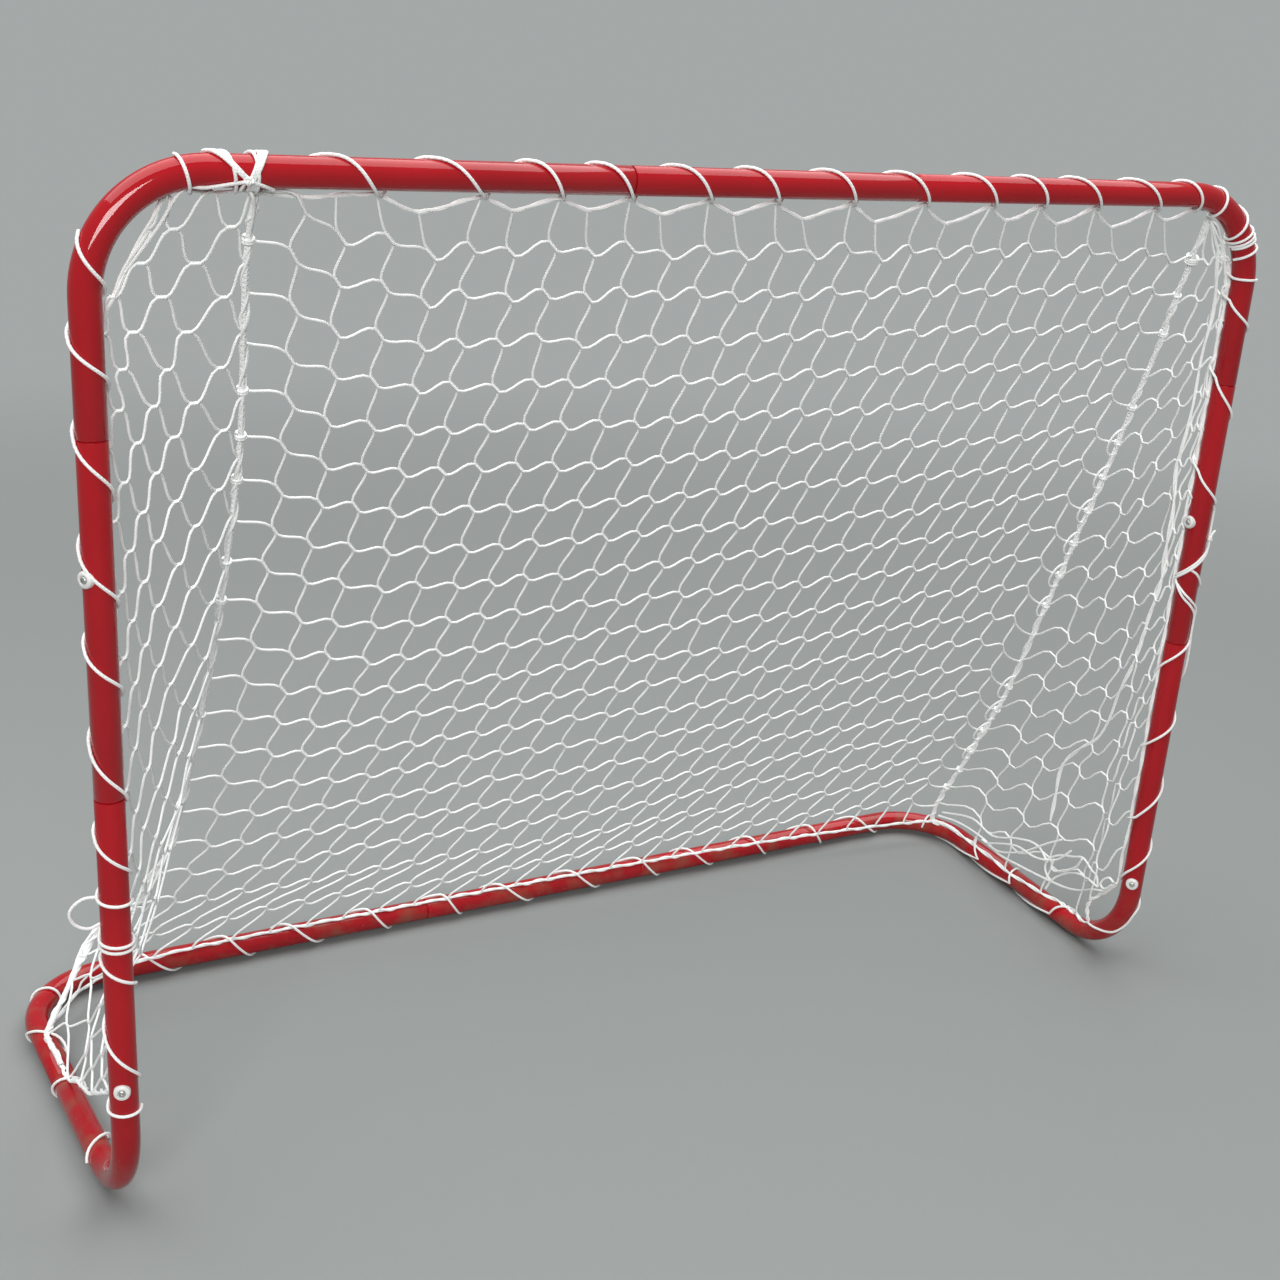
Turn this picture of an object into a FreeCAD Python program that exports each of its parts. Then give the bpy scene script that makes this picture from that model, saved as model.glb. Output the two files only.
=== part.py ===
import FreeCAD
import Part
import math
import os

Vector = FreeCAD.Vector

# Driving dimensions, in millimetres. Seen from the front, +X is to the right, +Y is back and +Z is up.
TUBE_DIAMETER = 32.0
TUBE_WALL = 1.2

# Lengths of the ten tubes, from joint to joint or from a joint to the point where two straight runs would meet.
CROSSBAR_CENTRE_LENGTH = 382.0
TOP_CORNER_REACH = 573.0
TOP_CORNER_DROP = 255.0
POST_MIDDLE_LENGTH = 382.0
FOOT_RISE = 531.0
FOOT_BACK = 292.0
BASE_CORNER_FORWARD = 255.0
BASE_CORNER_REACH = 610.0
BASE_BACK_LENGTH = 382.0
TOP_BEND_RADIUS = 120.0
FOOT_BEND_RADIUS = 120.0
BASE_BEND_RADIUS = 110.0
BEND_STEPS = 5
BORE_SIDES = 12

# At a joint one tube narrows behind a short shoulder to a spigot, which slides into the open end of the next tube.
SPIGOT_LENGTH = 45.0
SPIGOT_SHOULDER = 2.0
SPIGOT_CLEARANCE = 0.3

# Each post carries two cap washers with a screw: heights above the base tubes, turns in degrees from front to -X.
CAP_DIAMETER = 18.5
CAP_SIDES = 12
CAP_HEIGHT = 4.0
CAP_EDGE_ROUND = 1.4
CAP_RECESS_DIAMETER = 10.0
CAP_RECESS_DEPTH = 1.6
CAP_SEAT_CLEARANCE = 0.1
SCREW_DIAMETER = 4.0
SCREW_SIDES = 8
SCREW_LENGTH = 12.0
SCREW_HEAD_DIAMETER = 8.0
SCREW_HEAD_HEIGHT = 2.2
SCREW_HOLE_CLEARANCE = 0.1
LEFT_POST_CAP = (775.0, 58.0)
LEFT_FOOT_CAP = (180.0, 17.0)
RIGHT_POST_CAP = (715.0, 96.0)
RIGHT_FOOT_CAP = (138.0, 48.0)

# The net is knotless cord. Its meshes are twice the real size, so that one turn of lacing passes through each.
# The three panels have their rows in common, which meet at the ropes of the back corners.
NET_CORD = 3.6
NET_THICKNESS = 3.0
NET_JOINT = 16.0
NET_JOINT_SLANT = 20.0
NET_CLEARANCE = 0.3
NET_ROWS = 10
BACK_NET_COLUMNS = 13
SIDE_NET_COLUMNS = 5
POST_NET_TOP_DROP = 144.0
POST_NET_FOOT_RISE = 30.0

# A stiff rope is bound into the net at each back corner. It runs straight from row to row, through these X.
ROPE_DIAMETER = 7.0
ROPE_SIDES = 8
ROPE_CLEARANCE = 0.8
ROPE_X = {
    "left": [-597.0, -589.0, -584.5, -581.5, -580.0, -582.0, -586.0, -595.0, -607.0, -656.0, -738.0],
    "right": [688.0, 705.0, 718.0, 729.0, 738.0, 745.0, 749.0, 751.0, 753.0, 755.0, 757.0],
}

# The lacing cord binds the net's border to the tubes. Its section is a square of the round cord's area.
LACING_DIAMETER = 3.6
LACING_CLEARANCE = 0.3
LACING_FLAT = 0.36
LACING_SIDES = 4
LACING_STEPS = 8
RIGHT_POST_UPPER_TURNS = 4
RIGHT_POST_LACING_GAP = 12.0

UP = Vector(0, 0, 1)
BACK = Vector(0, 1, 0)
SIDES = {"left": -1, "right": 1}

tube_radius = TUBE_DIAMETER / 2
bore_radius = tube_radius - TUBE_WALL
spigot_radius = bore_radius - SPIGOT_CLEARANCE

# The base tubes' axes are at height 0 and the front frame's plane is at depth 0, until the whole is moved at the end.
front_half = CROSSBAR_CENTRE_LENGTH / 2 + TOP_CORNER_REACH
back_half = BASE_BACK_LENGTH / 2 + BASE_CORNER_REACH
splay = back_half - front_half
side_length = FOOT_BACK + BASE_CORNER_FORWARD
depth = math.sqrt(side_length ** 2 - splay ** 2)
height = TOP_CORNER_DROP + POST_MIDDLE_LENGTH + FOOT_RISE
net_fall = Vector(0, depth, -height).normalize()

lacing_half = LACING_DIAMETER * math.sqrt(math.pi) / 4
lacing_room = NET_CLEARANCE + NET_CORD + NET_THICKNESS / 2
winding_offset = lacing_room / 2
closest_path = tube_radius + LACING_CLEARANCE + lacing_half * math.sqrt(2)
winding_radius = (closest_path + winding_offset) / math.cos(math.pi / LACING_STEPS)
border_reach = tube_radius + NET_CLEARANCE + NET_THICKNESS / 2
base_side_run = side_length - FOOT_BEND_RADIUS - BASE_BEND_RADIUS
rope_reach = ROPE_DIAMETER / 2 + ROPE_CLEARANCE


def unit(vector):
    return Vector(vector).normalize()


def circle(centre, direction, side, radius):
    """A round outline of two half circles that starts on one side, so that a row of them lofts without a twist."""
    across = side.cross(direction)
    start = centre + side * radius
    far = centre - side * radius
    halves = [
        Part.Arc(start, centre + across * radius, far).toShape(),
        Part.Arc(far, centre - across * radius, start).toShape(),
    ]
    return Part.Wire(halves)


def polygon(centre, direction, side, corner_radius, sides):
    """A closed outline whose flats are square to one side."""
    across = side.cross(direction)
    corners = []
    for corner in range(sides + 1):
        angle = 2 * math.pi * (corner % sides + 0.5) / sides
        corners.append(centre + side * (corner_radius * math.cos(angle)) + across * (corner_radius * math.sin(angle)))
    return Part.makePolygon(corners)


def bend_stations(before, corner, after, radius):
    """Points and directions round a bend between two straight runs."""
    arrive = unit(corner - before)
    leave = unit(after - corner)
    turn = arrive.getAngle(leave)
    start = corner - arrive * (radius * math.tan(turn / 2))
    inward = unit(leave - arrive * arrive.dot(leave))
    stations = []
    for step in range(BEND_STEPS + 1):
        angle = turn * step / BEND_STEPS
        place = start + arrive * (radius * math.sin(angle)) + inward * (radius * (1 - math.cos(angle)))
        stations.append((place, arrive * math.cos(angle) + inward * math.sin(angle)))
    return stations


def spigot(joint, outward):
    """Stations of a narrowed end: a shoulder up to the joint, and the spigot past it."""
    return [
        (joint - outward * SPIGOT_SHOULDER, tube_radius, bore_radius),
        (joint, spigot_radius, spigot_radius - TUBE_WALL),
        (joint + outward * SPIGOT_LENGTH, spigot_radius, spigot_radius - TUBE_WALL),
    ]


def open_end(joint, outward):
    """The one station of a plain open end."""
    return [(joint, tube_radius, bore_radius)]


def tube(joints, corner, bend_radius, first_end, last_end):
    """A tube between two joints, straight or with one bend, as one loft less another for its bore."""
    start, end = joints
    arrive = unit((corner or end) - start)
    leave = unit(end - (corner or start))
    side = unit(arrive.cross(leave)) if corner else UP if abs(arrive.z) < 0.5 else BACK
    stations = [(place, arrive, outer, inner) for place, outer, inner in reversed(first_end(start, arrive * -1))]
    if corner:
        for place, direction in bend_stations(start, corner, end, bend_radius):
            stations.append((place, direction, tube_radius, bore_radius))
    stations += [(place, leave, outer, inner) for place, outer, inner in last_end(end, leave)]
    flat_to_corner = 1 / math.cos(math.pi / BORE_SIDES)
    outside = [circle(place, direction, side, outer) for place, direction, outer, inner in stations]
    bore = [
        polygon(place, direction, side, inner * flat_to_corner, BORE_SIDES)
        for place, direction, outer, inner in stations
    ]
    return Part.makeLoft(outside, True, True).cut(Part.makeLoft(bore, True, True))


def side_direction(side):
    """The direction of a base side tube, from its foot back."""
    return unit(Vector(side * splay, depth, 0))


def make_tubes():
    """The ten tubes, by name."""
    tubes = {}
    half_bar = CROSSBAR_CENTRE_LENGTH / 2
    half_back = BASE_BACK_LENGTH / 2
    bar = (Vector(-half_bar, 0, height), Vector(half_bar, 0, height))
    back = (Vector(-half_back, depth, 0), Vector(half_back, depth, 0))
    tubes["crossbar_centre"] = tube(bar, None, 0, open_end, open_end)
    tubes["base_back_centre"] = tube(back, None, 0, open_end, open_end)
    for name, side in SIDES.items():
        top = Vector(side * front_half, 0, height)
        foot = Vector(side * front_half, 0, 0)
        corner = Vector(side * back_half, depth, 0)
        upper = top - UP * TOP_CORNER_DROP
        lower = foot + UP * FOOT_RISE
        base = foot + side_direction(side) * FOOT_BACK
        bar_joint = Vector(side * half_bar, 0, height)
        back_joint = Vector(side * half_back, depth, 0)
        tubes["top_corner_" + name] = tube((bar_joint, upper), top, TOP_BEND_RADIUS, spigot, spigot)
        tubes["post_middle_" + name] = tube((upper, lower), None, 0, open_end, spigot)
        tubes["foot_" + name] = tube((lower, base), foot, FOOT_BEND_RADIUS, open_end, open_end)
        tubes["base_corner_" + name] = tube((base, back_joint), corner, BASE_BEND_RADIUS, spigot, spigot)
    return tubes


def turned(profile, place, direction, sides):
    """A small turned piece with flats, from a closed outline of (radius, height) points."""
    side = unit(UP - direction * UP.dot(direction))
    across = side.cross(direction)
    faces = []
    for (radius, low), (next_radius, high) in zip(profile, profile[1:] + profile[:1]):
        for flat in range(sides):
            corners = []
            for index, r, h in ((flat, radius, low), (flat + 1, radius, low), (flat + 1, next_radius, high),
                                (flat, next_radius, high)):
                angle = 2 * math.pi * (index % sides) / sides
                corner = place + direction * h + side * (r * math.cos(angle)) + across * (r * math.sin(angle))
                if not corners or min((corner - known).Length for known in corners) > 1e-6:
                    corners.append(corner)
            if len(corners) > 2:
                faces.append(Part.Face(Part.makePolygon(corners + corners[:1])))
    return closed_solid(faces)


def closed_solid(faces):
    """One solid from the flat faces that close it."""
    skin = Part.makeCompound(faces)
    skin.sewShape()
    solid = Part.Solid(skin.Shells[0])
    return solid if solid.Volume > 0 else solid.reversed()


def cap_profile():
    """A cap washer's section: a broken edge, and a flat recess for the screw's head."""
    radius = CAP_DIAMETER / 2
    hole = SCREW_DIAMETER / 2 + SCREW_HOLE_CLEARANCE
    return [
        (hole, -CAP_HEIGHT),
        (radius, -CAP_HEIGHT),
        (radius, CAP_HEIGHT - CAP_EDGE_ROUND),
        (radius - CAP_EDGE_ROUND, CAP_HEIGHT),
        (CAP_RECESS_DIAMETER / 2, CAP_HEIGHT),
        (CAP_RECESS_DIAMETER / 2, CAP_HEIGHT - CAP_RECESS_DEPTH),
        (hole, CAP_HEIGHT - CAP_RECESS_DEPTH),
    ]


def screw_profile():
    """A pan head screw's section, from the middle of its head down its pointed shank."""
    seat = CAP_HEIGHT - CAP_RECESS_DEPTH
    head = SCREW_HEAD_DIAMETER / 2
    shank = SCREW_DIAMETER / 2
    return [
        (0, seat + SCREW_HEAD_HEIGHT),
        (head * 0.7, seat + SCREW_HEAD_HEIGHT),
        (head, seat + SCREW_HEAD_HEIGHT * 0.4),
        (head, seat),
        (shank, seat),
        (shank, seat + shank - SCREW_LENGTH),
        (0, seat - SCREW_LENGTH),
    ]


def add_caps(tubes):
    """Drill the posts, and make the cap washers and screws that sit over the holes."""
    places = [
        ("post_middle_left", SIDES["left"], LEFT_POST_CAP),
        ("foot_left", SIDES["left"], LEFT_FOOT_CAP),
        ("post_middle_right", SIDES["right"], RIGHT_POST_CAP),
        ("foot_right", SIDES["right"], RIGHT_FOOT_CAP),
    ]
    caps = []
    screws = []
    for node, side, (cap_height, turn) in places:
        angle = math.radians(turn)
        outward = Vector(-math.sin(angle), -math.cos(angle), 0)
        axis_point = Vector(side * front_half, 0, cap_height)
        hole_radius = SCREW_DIAMETER / 2 + SCREW_HOLE_CLEARANCE
        tubes[node] = tubes[node].cut(Part.makeCylinder(hole_radius, TUBE_DIAMETER, axis_point, outward))
        seat_radius = tube_radius + CAP_SEAT_CLEARANCE
        seat = Part.makeCylinder(seat_radius, CAP_DIAMETER * 2, axis_point - UP * CAP_DIAMETER, UP)
        place = axis_point + outward * tube_radius
        caps.append(turned(cap_profile(), place, outward, CAP_SIDES).cut(seat).Solids[0])
        screws.append(turned(screw_profile(), place, outward, SCREW_SIDES))
    return caps, screws


def back_place(drop, x):
    """A point of the back net's plane, this far down from the crossbar's axis."""
    return net_fall * drop + Vector(x, 0, height)


def bend_drop(x, half_width, radius):
    """How far a bent tube's axis has left the straight line of its middle at this X."""
    into_bend = min(max(x - (half_width - radius), 0), radius)
    return radius - math.sqrt(radius ** 2 - into_bend ** 2)


def column_x(column, row):
    """Where a column of the back net is on a row. Its outer columns run beside the ropes."""
    left = ROPE_X["left"][row] + rope_reach
    right = ROPE_X["right"][row] - rope_reach
    return left + (right - left) * column / BACK_NET_COLUMNS


def row_place(x_top, x_low, x, row):
    """A point of the back net's plane on a row, the rows being evenly spaced between the tubes at two X.

    Round the bends there is room for a rope and a side net beside the column.
    """
    beside = 3 * rope_reach
    top = border_reach + bend_drop(abs(x_top) + beside, front_half, TOP_BEND_RADIUS)
    low = border_reach + bend_drop(abs(x_low) + beside, back_half, BASE_BEND_RADIUS) * net_fall.y
    length = math.hypot(depth, height)
    return back_place(top + (length - top - low) * row / NET_ROWS, x)


def back_crossing(column, row):
    """Where a column of the back net crosses a row."""
    return row_place(column_x(column, 0), column_x(column, NET_ROWS), column_x(column, row), row)


def rope_place(name, row):
    """Where a rope passes a row, level with the back net's outer column."""
    outer = 0 if name == "left" else BACK_NET_COLUMNS
    return row_place(column_x(outer, 0), column_x(outer, NET_ROWS), ROPE_X[name][row], row)


def corners_only(points):
    """The points of a closed outline without those on a straight run."""
    kept = []
    for before, point, after in zip(points[-1:] + points[:-1], points, points[1:] + points[:1]):
        if (point - before).getAngle(after - point) > 1e-6:
            kept.append(point)
    return kept


def inset_outline(points, insets, normal):
    """A flat outline's corners, with each side moved inwards by its own distance."""
    count = len(points)
    lines = []
    for index in range(count):
        along = unit(points[(index + 1) % count] - points[index])
        lines.append((points[index] + normal.cross(along) * insets[index], along))
    corners = []
    for index in range(count):
        (start, along), (next_start, next_along) = lines[index - 1], lines[index]
        square = normal.cross(next_along)
        corners.append(start + along * ((next_start - start).dot(square) / along.dot(square)))
    return corners


def make_back_net():
    """The back panel: one flat face from the crossbar to the base, with a hole for each mesh."""
    normal = Vector(1, 0, 0).cross(net_fall)
    slant = math.radians(NET_JOINT_SLANT)
    half_joint = Vector(math.cos(slant), 0, 0) * (NET_JOINT / 2) + net_fall * (math.sin(slant) * NET_JOINT / 2)

    def inner(column, row):
        return 0 < column < BACK_NET_COLUMNS and 0 < row < NET_ROWS

    def joint(column, row, end):
        return back_crossing(column, row) + (half_joint * end if inner(column, row) else Vector())

    edge = [back_crossing(0, row) for row in range(NET_ROWS)]
    edge += [back_crossing(column, NET_ROWS) for column in range(BACK_NET_COLUMNS)]
    edge += [back_crossing(BACK_NET_COLUMNS, row) for row in range(NET_ROWS, 0, -1)]
    edge += [back_crossing(column, 0) for column in range(BACK_NET_COLUMNS, 0, -1)]
    edge = corners_only(edge)
    wires = [Part.makePolygon(edge + edge[:1])]
    for row in range(NET_ROWS):
        for column in range(BACK_NET_COLUMNS):
            sides = [
                (joint(column, row, 1), NET_CORD if row == 0 else NET_CORD / 2),
                (joint(column + 1, row, -1), NET_CORD / 2),
                (joint(column + 1, row, 1), NET_CORD if column == BACK_NET_COLUMNS - 1 else NET_CORD / 2),
                (joint(column + 1, row + 1, -1), NET_CORD if row == NET_ROWS - 1 else NET_CORD / 2),
                (joint(column, row + 1, 1), NET_CORD / 2),
                (joint(column, row + 1, -1), NET_CORD if column == 0 else NET_CORD / 2),
            ]
            kept = [s for s, after in zip(sides, sides[1:] + sides[:1]) if (after[0] - s[0]).Length > NET_CORD]
            mesh = inset_outline([point for point, inset in kept], [inset for point, inset in kept], normal)
            wires.append(Part.makePolygon(mesh + mesh[:1]))
    face = Part.makeFace(wires, "Part::FaceMakerBullseye")
    solid = face.extrude(normal * NET_THICKNESS)
    solid.translate(normal * (-NET_THICKNESS / 2))
    return solid


def between(start, end, share):
    return start + (end - start) * share


def make_side_net(name, side):
    """A side panel: rows from the post's border back to the rope, so it twists from the front plane to the side."""
    post_side = post_net_side(side)
    along = side_direction(side)
    post_top = Vector(side * front_half, 0, height - POST_NET_TOP_DROP) + post_side * border_reach
    post_low = Vector(side * front_half, 0, FOOT_BEND_RADIUS + POST_NET_FOOT_RISE) + post_side * border_reach
    foot = Vector(side * front_half, 0, 0)
    base_side = base_net_side(side)
    clear = Vector(side * (rope_reach + NET_THICKNESS / 2), 0, 0)
    grid = []
    for row in range(NET_ROWS):
        start = between(post_top, post_low, row / (NET_ROWS - 1))
        end = rope_place(name, row) + clear
        grid.append([between(start, end, column / SIDE_NET_COLUMNS) for column in range(SIDE_NET_COLUMNS + 1)])
    bend_middle = 1 - math.sqrt(0.5)
    inside = foot + (along + UP) * (FOOT_BEND_RADIUS * bend_middle + border_reach * math.sqrt(0.5))
    last = [inside]
    for column in range(1, SIDE_NET_COLUMNS):
        reach = FOOT_BEND_RADIUS + base_side_run * (column - 1) / (SIDE_NET_COLUMNS - 2)
        last.append(foot + along * reach + base_side * border_reach)
    last.append(rope_place(name, NET_ROWS) + clear)
    grid.append(last)
    return lattice(grid)


def lattice(grid):
    """A net of thin bars on a grid of points that need not be flat, as one closed solid."""
    rows, columns = len(grid) - 1, len(grid[0]) - 1
    normals = []
    for row in range(rows + 1):
        normals.append([])
        for column in range(columns + 1):
            across = grid[row][min(column + 1, columns)] - grid[row][max(column - 1, 0)]
            down = grid[min(row + 1, rows)][column] - grid[max(row - 1, 0)][column]
            normals[row].append(unit(across.cross(down)) * (NET_THICKNESS / 2))
    triangles = []

    def flat(first, second, third, fourth):
        for corners in ((first, second, third), (first, third, fourth)):
            triangles.append(Part.Face(Part.makePolygon([*corners, corners[0]])))

    for row in range(rows):
        for column in range(columns):
            spots = [(row, column), (row, column + 1), (row + 1, column + 1), (row + 1, column)]
            outline = [grid[r][c] for r, c in spots]
            offsets = [normals[r][c] for r, c in spots]
            width = (outline[1] - outline[0]).Length / 2 + (outline[2] - outline[3]).Length / 2
            tall = (outline[3] - outline[0]).Length / 2 + (outline[2] - outline[1]).Length / 2
            left = (NET_CORD if column == 0 else NET_CORD / 2) / width
            right = 1 - (NET_CORD if column == columns - 1 else NET_CORD / 2) / width
            top = (NET_CORD if row == 0 else NET_CORD / 2) / tall
            bottom = 1 - (NET_CORD if row == rows - 1 else NET_CORD / 2) / tall
            shares = [(left, top), (right, top), (right, bottom), (left, bottom)]
            hole = []
            hole_offsets = []
            for u, v in shares:
                hole.append(between(between(outline[0], outline[1], u), between(outline[3], outline[2], u), v))
                lean = between(between(offsets[0], offsets[1], u), between(offsets[3], offsets[2], u), v)
                hole_offsets.append(unit(lean) * (NET_THICKNESS / 2))
            for index in range(4):
                after = (index + 1) % 4
                near, far = outline[index], outline[after]
                near_hole, far_hole = hole[index], hole[after]
                lift, far_lift = offsets[index], offsets[after]
                hole_lift, far_hole_lift = hole_offsets[index], hole_offsets[after]
                flat(near + lift, far + far_lift, far_hole + far_hole_lift, near_hole + hole_lift)
                flat(near_hole - hole_lift, far_hole - far_hole_lift, far - far_lift, near - lift)
                flat(near_hole + hole_lift, far_hole + far_hole_lift, far_hole - far_hole_lift, near_hole - hole_lift)
                row_edge = (index == 0 and row == 0) or (index == 2 and row == rows - 1)
                column_edge = (index == 3 and column == 0) or (index == 1 and column == columns - 1)
                if row_edge or column_edge:
                    flat(far + far_lift, near + lift, near - lift, far - far_lift)
    return closed_solid(triangles)


def post_net_side(side):
    """The side of a post where its net's border runs: inwards and back."""
    return unit(Vector(-side, 1, 0))


def base_net_side(side):
    """The side of a base side tube where its net's border runs: leaning inwards as much as the back net leans."""
    inward = side_direction(side).cross(UP) * -side
    return inward * net_fall.y - UP * net_fall.z


def winding(first, direction, net_side, low_side, pitch, turns, hand):
    """A lacing cord round a tube, in short straight runs, and the points it follows.

    Each turn starts on the low side and is a little wider towards the net, whose border it takes in. It passes
    the net's side midway between the net's strands, which stand a pitch apart from first.
    """
    across = direction.cross(low_side) * hand
    lag = math.atan2(net_side.dot(across), net_side.dot(low_side)) / (2 * math.pi) % 1
    centre = first + net_side * winding_offset
    points = []
    for step in range(turns * LACING_STEPS + 1):
        turn = step / LACING_STEPS
        angle = 2 * math.pi * turn
        radial = low_side * math.cos(angle) + across * math.sin(angle)
        points.append(centre + direction * (pitch * (turn + 0.5 - lag)) + radial * winding_radius)
    return faceted_cord(points, low_side, lacing_half * math.sqrt(2), LACING_SIDES), points


def faceted_cord(points, side, radius, sides):
    """A cord of flats along straight runs that meet in mitres, with one flat turned to a side at its start."""
    first = unit(points[1] - points[0])
    facing = unit(side - first * side.dot(first))
    section = polygon(points[0], first, facing, radius, sides)
    mitred = 1
    return Part.makePolygon(points).makePipeShell([section], True, False, mitred)


def make_lacings():
    """The lacing cords by name, with the points that each follows."""
    lacings = {}
    back_side = net_fall * -1
    bar_pitch, bar_first = column_steps(0)
    bar_turns = int((front_half - TOP_BEND_RADIUS - bar_first) / bar_pitch)
    start = Vector(bar_first, 0, height)
    lacings["crossbar_lacing"] = winding(start, Vector(1, 0, 0), net_fall, back_side, bar_pitch, bar_turns, 1)
    base_pitch, base_first = column_steps(NET_ROWS)
    skipped = math.ceil((-base_first - (back_half - BASE_BEND_RADIUS)) / base_pitch)
    start = Vector(base_first + base_pitch * skipped, depth, 0)
    base_turns = int((back_half - BASE_BEND_RADIUS - start.x) / base_pitch)
    down = UP * -1
    lacings["base_back_lacing"] = winding(start, Vector(1, 0, 0), back_side, down, base_pitch, base_turns, 1)
    post_turns = NET_ROWS - 1
    post_pitch = (height - POST_NET_TOP_DROP - FOOT_BEND_RADIUS - POST_NET_FOOT_RISE) / post_turns
    for name, side in SIDES.items():
        net_side = post_net_side(side)
        start = Vector(side * front_half, 0, height - POST_NET_TOP_DROP)
        upper = RIGHT_POST_UPPER_TURNS if name == "right" else post_turns
        node = "right_post_upper_lacing" if name == "right" else "left_post_lacing"
        lacings[node] = winding(start, down, net_side, net_side * -1, post_pitch, upper, side)
        if upper < post_turns:
            start = start + down * (post_pitch * upper + RIGHT_POST_LACING_GAP)
            rest = post_turns - upper
            lacings["right_post_lower_lacing"] = winding(
                start, down, net_side, net_side * -1, post_pitch, rest, -side
            )
        along = side_direction(side)
        side_turns = SIDE_NET_COLUMNS - 2
        start = Vector(side * front_half, 0, 0) + along * FOOT_BEND_RADIUS
        pitch = base_side_run / side_turns
        lacings["base_" + name + "_lacing"] = winding(
            start, along, base_net_side(side), down, pitch, side_turns, -side
        )
    return lacings


def column_steps(row):
    """The spacing of the back net's columns along a row, and the first column's X."""
    first = column_x(0, row)
    return column_x(1, row) - first, first


def make_rope(name):
    """A stiff rope down the back net's edge, in straight runs from row to row."""
    points = [rope_place(name, row) for row in range(NET_ROWS + 1)]
    normal = Vector(1, 0, 0).cross(net_fall)
    return faceted_cord(points, normal, ROPE_DIAMETER / 2, ROPE_SIDES)


def least_gap(points):
    """The least distance between the surfaces of two turns of one winding, at its points."""
    least = math.inf
    for index, point in enumerate(points):
        for other in points[index + LACING_STEPS // 2:]:
            least = min(least, (other - point).Length)
    return least - 2 * lacing_half * math.sqrt(2)


def build():
    """All nodes by name, with the object's footprint centred on the origin and resting at height 0."""
    nodes = make_tubes()
    caps, screws = add_caps(nodes)
    nodes["cap_washers"] = Part.makeCompound(caps)
    nodes["cap_screws"] = Part.makeCompound(screws)
    nodes["net_back"] = make_back_net()
    for name, side in SIDES.items():
        nodes["net_" + name] = make_side_net(name, side)
        nodes["corner_rope_" + name] = make_rope(name)
    ground = winding_offset * -net_fall.z - winding_radius - lacing_half + LACING_FLAT
    span = 2 * (back_half + depth)
    below = Part.makeBox(span, span, TUBE_DIAMETER, Vector(-span / 2, -span / 2, ground - TUBE_DIAMETER))
    for name, (cord, points) in make_lacings().items():
        nodes[name] = cord.cut(below) if name.startswith("base") else cord
        print(name, "least gap to itself", round(least_gap(points), 2))
    bounds = Part.makeCompound(list(nodes.values())).optimalBoundingBox(False, False)
    shift = Vector(-bounds.Center.x, -bounds.Center.y, -ground)
    for shape in nodes.values():
        shape.translate(shift)
    return nodes


os.makedirs("parts", exist_ok=True)
for node_name, node_shape in build().items():
    solids = node_shape.Solids
    whole = solids[0] if len(solids) == 1 else Part.makeCompound(solids)
    whole.exportStep("parts/" + node_name + ".step")
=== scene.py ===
# %% [markdown]
# # A small tube goal with a laced net
#
# The goal is ten pushed-together steel tubes with a net laced round them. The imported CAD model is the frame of
# this lesson: it gives the places, and every piece made here replaces one of its nodes or dresses it.

import math
import random

import bmesh
import bpy
from mathutils import Matrix, Vector
from mathutils.geometry import interpolate_bezier


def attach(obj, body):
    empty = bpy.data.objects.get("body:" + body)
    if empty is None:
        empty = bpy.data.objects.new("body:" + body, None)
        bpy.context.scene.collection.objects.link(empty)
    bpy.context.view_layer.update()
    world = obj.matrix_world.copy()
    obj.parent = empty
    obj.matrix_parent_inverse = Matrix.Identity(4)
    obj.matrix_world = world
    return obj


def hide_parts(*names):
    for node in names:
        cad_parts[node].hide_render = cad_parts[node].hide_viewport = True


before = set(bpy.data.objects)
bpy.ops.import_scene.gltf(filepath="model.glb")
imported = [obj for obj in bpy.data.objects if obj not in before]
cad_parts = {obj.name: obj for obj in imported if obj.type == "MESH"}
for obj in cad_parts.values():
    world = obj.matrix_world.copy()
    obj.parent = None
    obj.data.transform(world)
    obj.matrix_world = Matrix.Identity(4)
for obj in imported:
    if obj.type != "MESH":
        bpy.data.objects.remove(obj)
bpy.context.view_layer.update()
print("nodes:", len(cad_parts))

# %% [markdown]
# ## The main lines of the goal
#
# The front frame stands in one upright plane. The base runs back from its feet and widens a little. The back net
# falls in one sloping plane from the crossbar to the back tube. The lines are the tubes' axes, lengths are in
# metres, and TUBE is the tubes' radius. The one source of chance is seeded, so each run gives the same goal.

# %% Lines and sizes
FRONT_Y = -0.27325
TOP_Z = 1.1898
BASE_Z = 0.0218
BACK_Y = 0.2725
FRONT_HALF = 0.764
BACK_HALF = 0.801
TUBE = 0.016
BEND = 0.120
CORNER_BEND = 0.110

UP = Vector((0, 0, 1))
ACROSS = Vector((1, 0, 0))
FORWARD = Vector((0, -1, 0))
fall_line = Vector((0, BACK_Y - FRONT_Y, BASE_Z - TOP_Z))
FALL = fall_line.normalized()
OUT_OF_NET = ACROSS.cross(FALL) * -1
chance = random.Random(11)
print("length of the sloping net:", round(fall_line.length, 3))


# %% Points and ways on the main lines
def unit(vector):
    return Vector(vector).normalized()


def on_fall(x, drop):
    """A point of the back net's plane, this far down from the crossbar's axis."""
    return Vector((x, FRONT_Y, TOP_Z)) + FALL * drop


def near_bar(x, behind, below):
    """A point near the crossbar, from its axis."""
    return Vector((x, FRONT_Y + behind, TOP_Z - below))


def foot_corner(side):
    """Where the axes of a post and of a side of the base would meet. The side is -1 on the left, 1 on the right."""
    return Vector((side * FRONT_HALF, FRONT_Y, BASE_Z))


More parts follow.
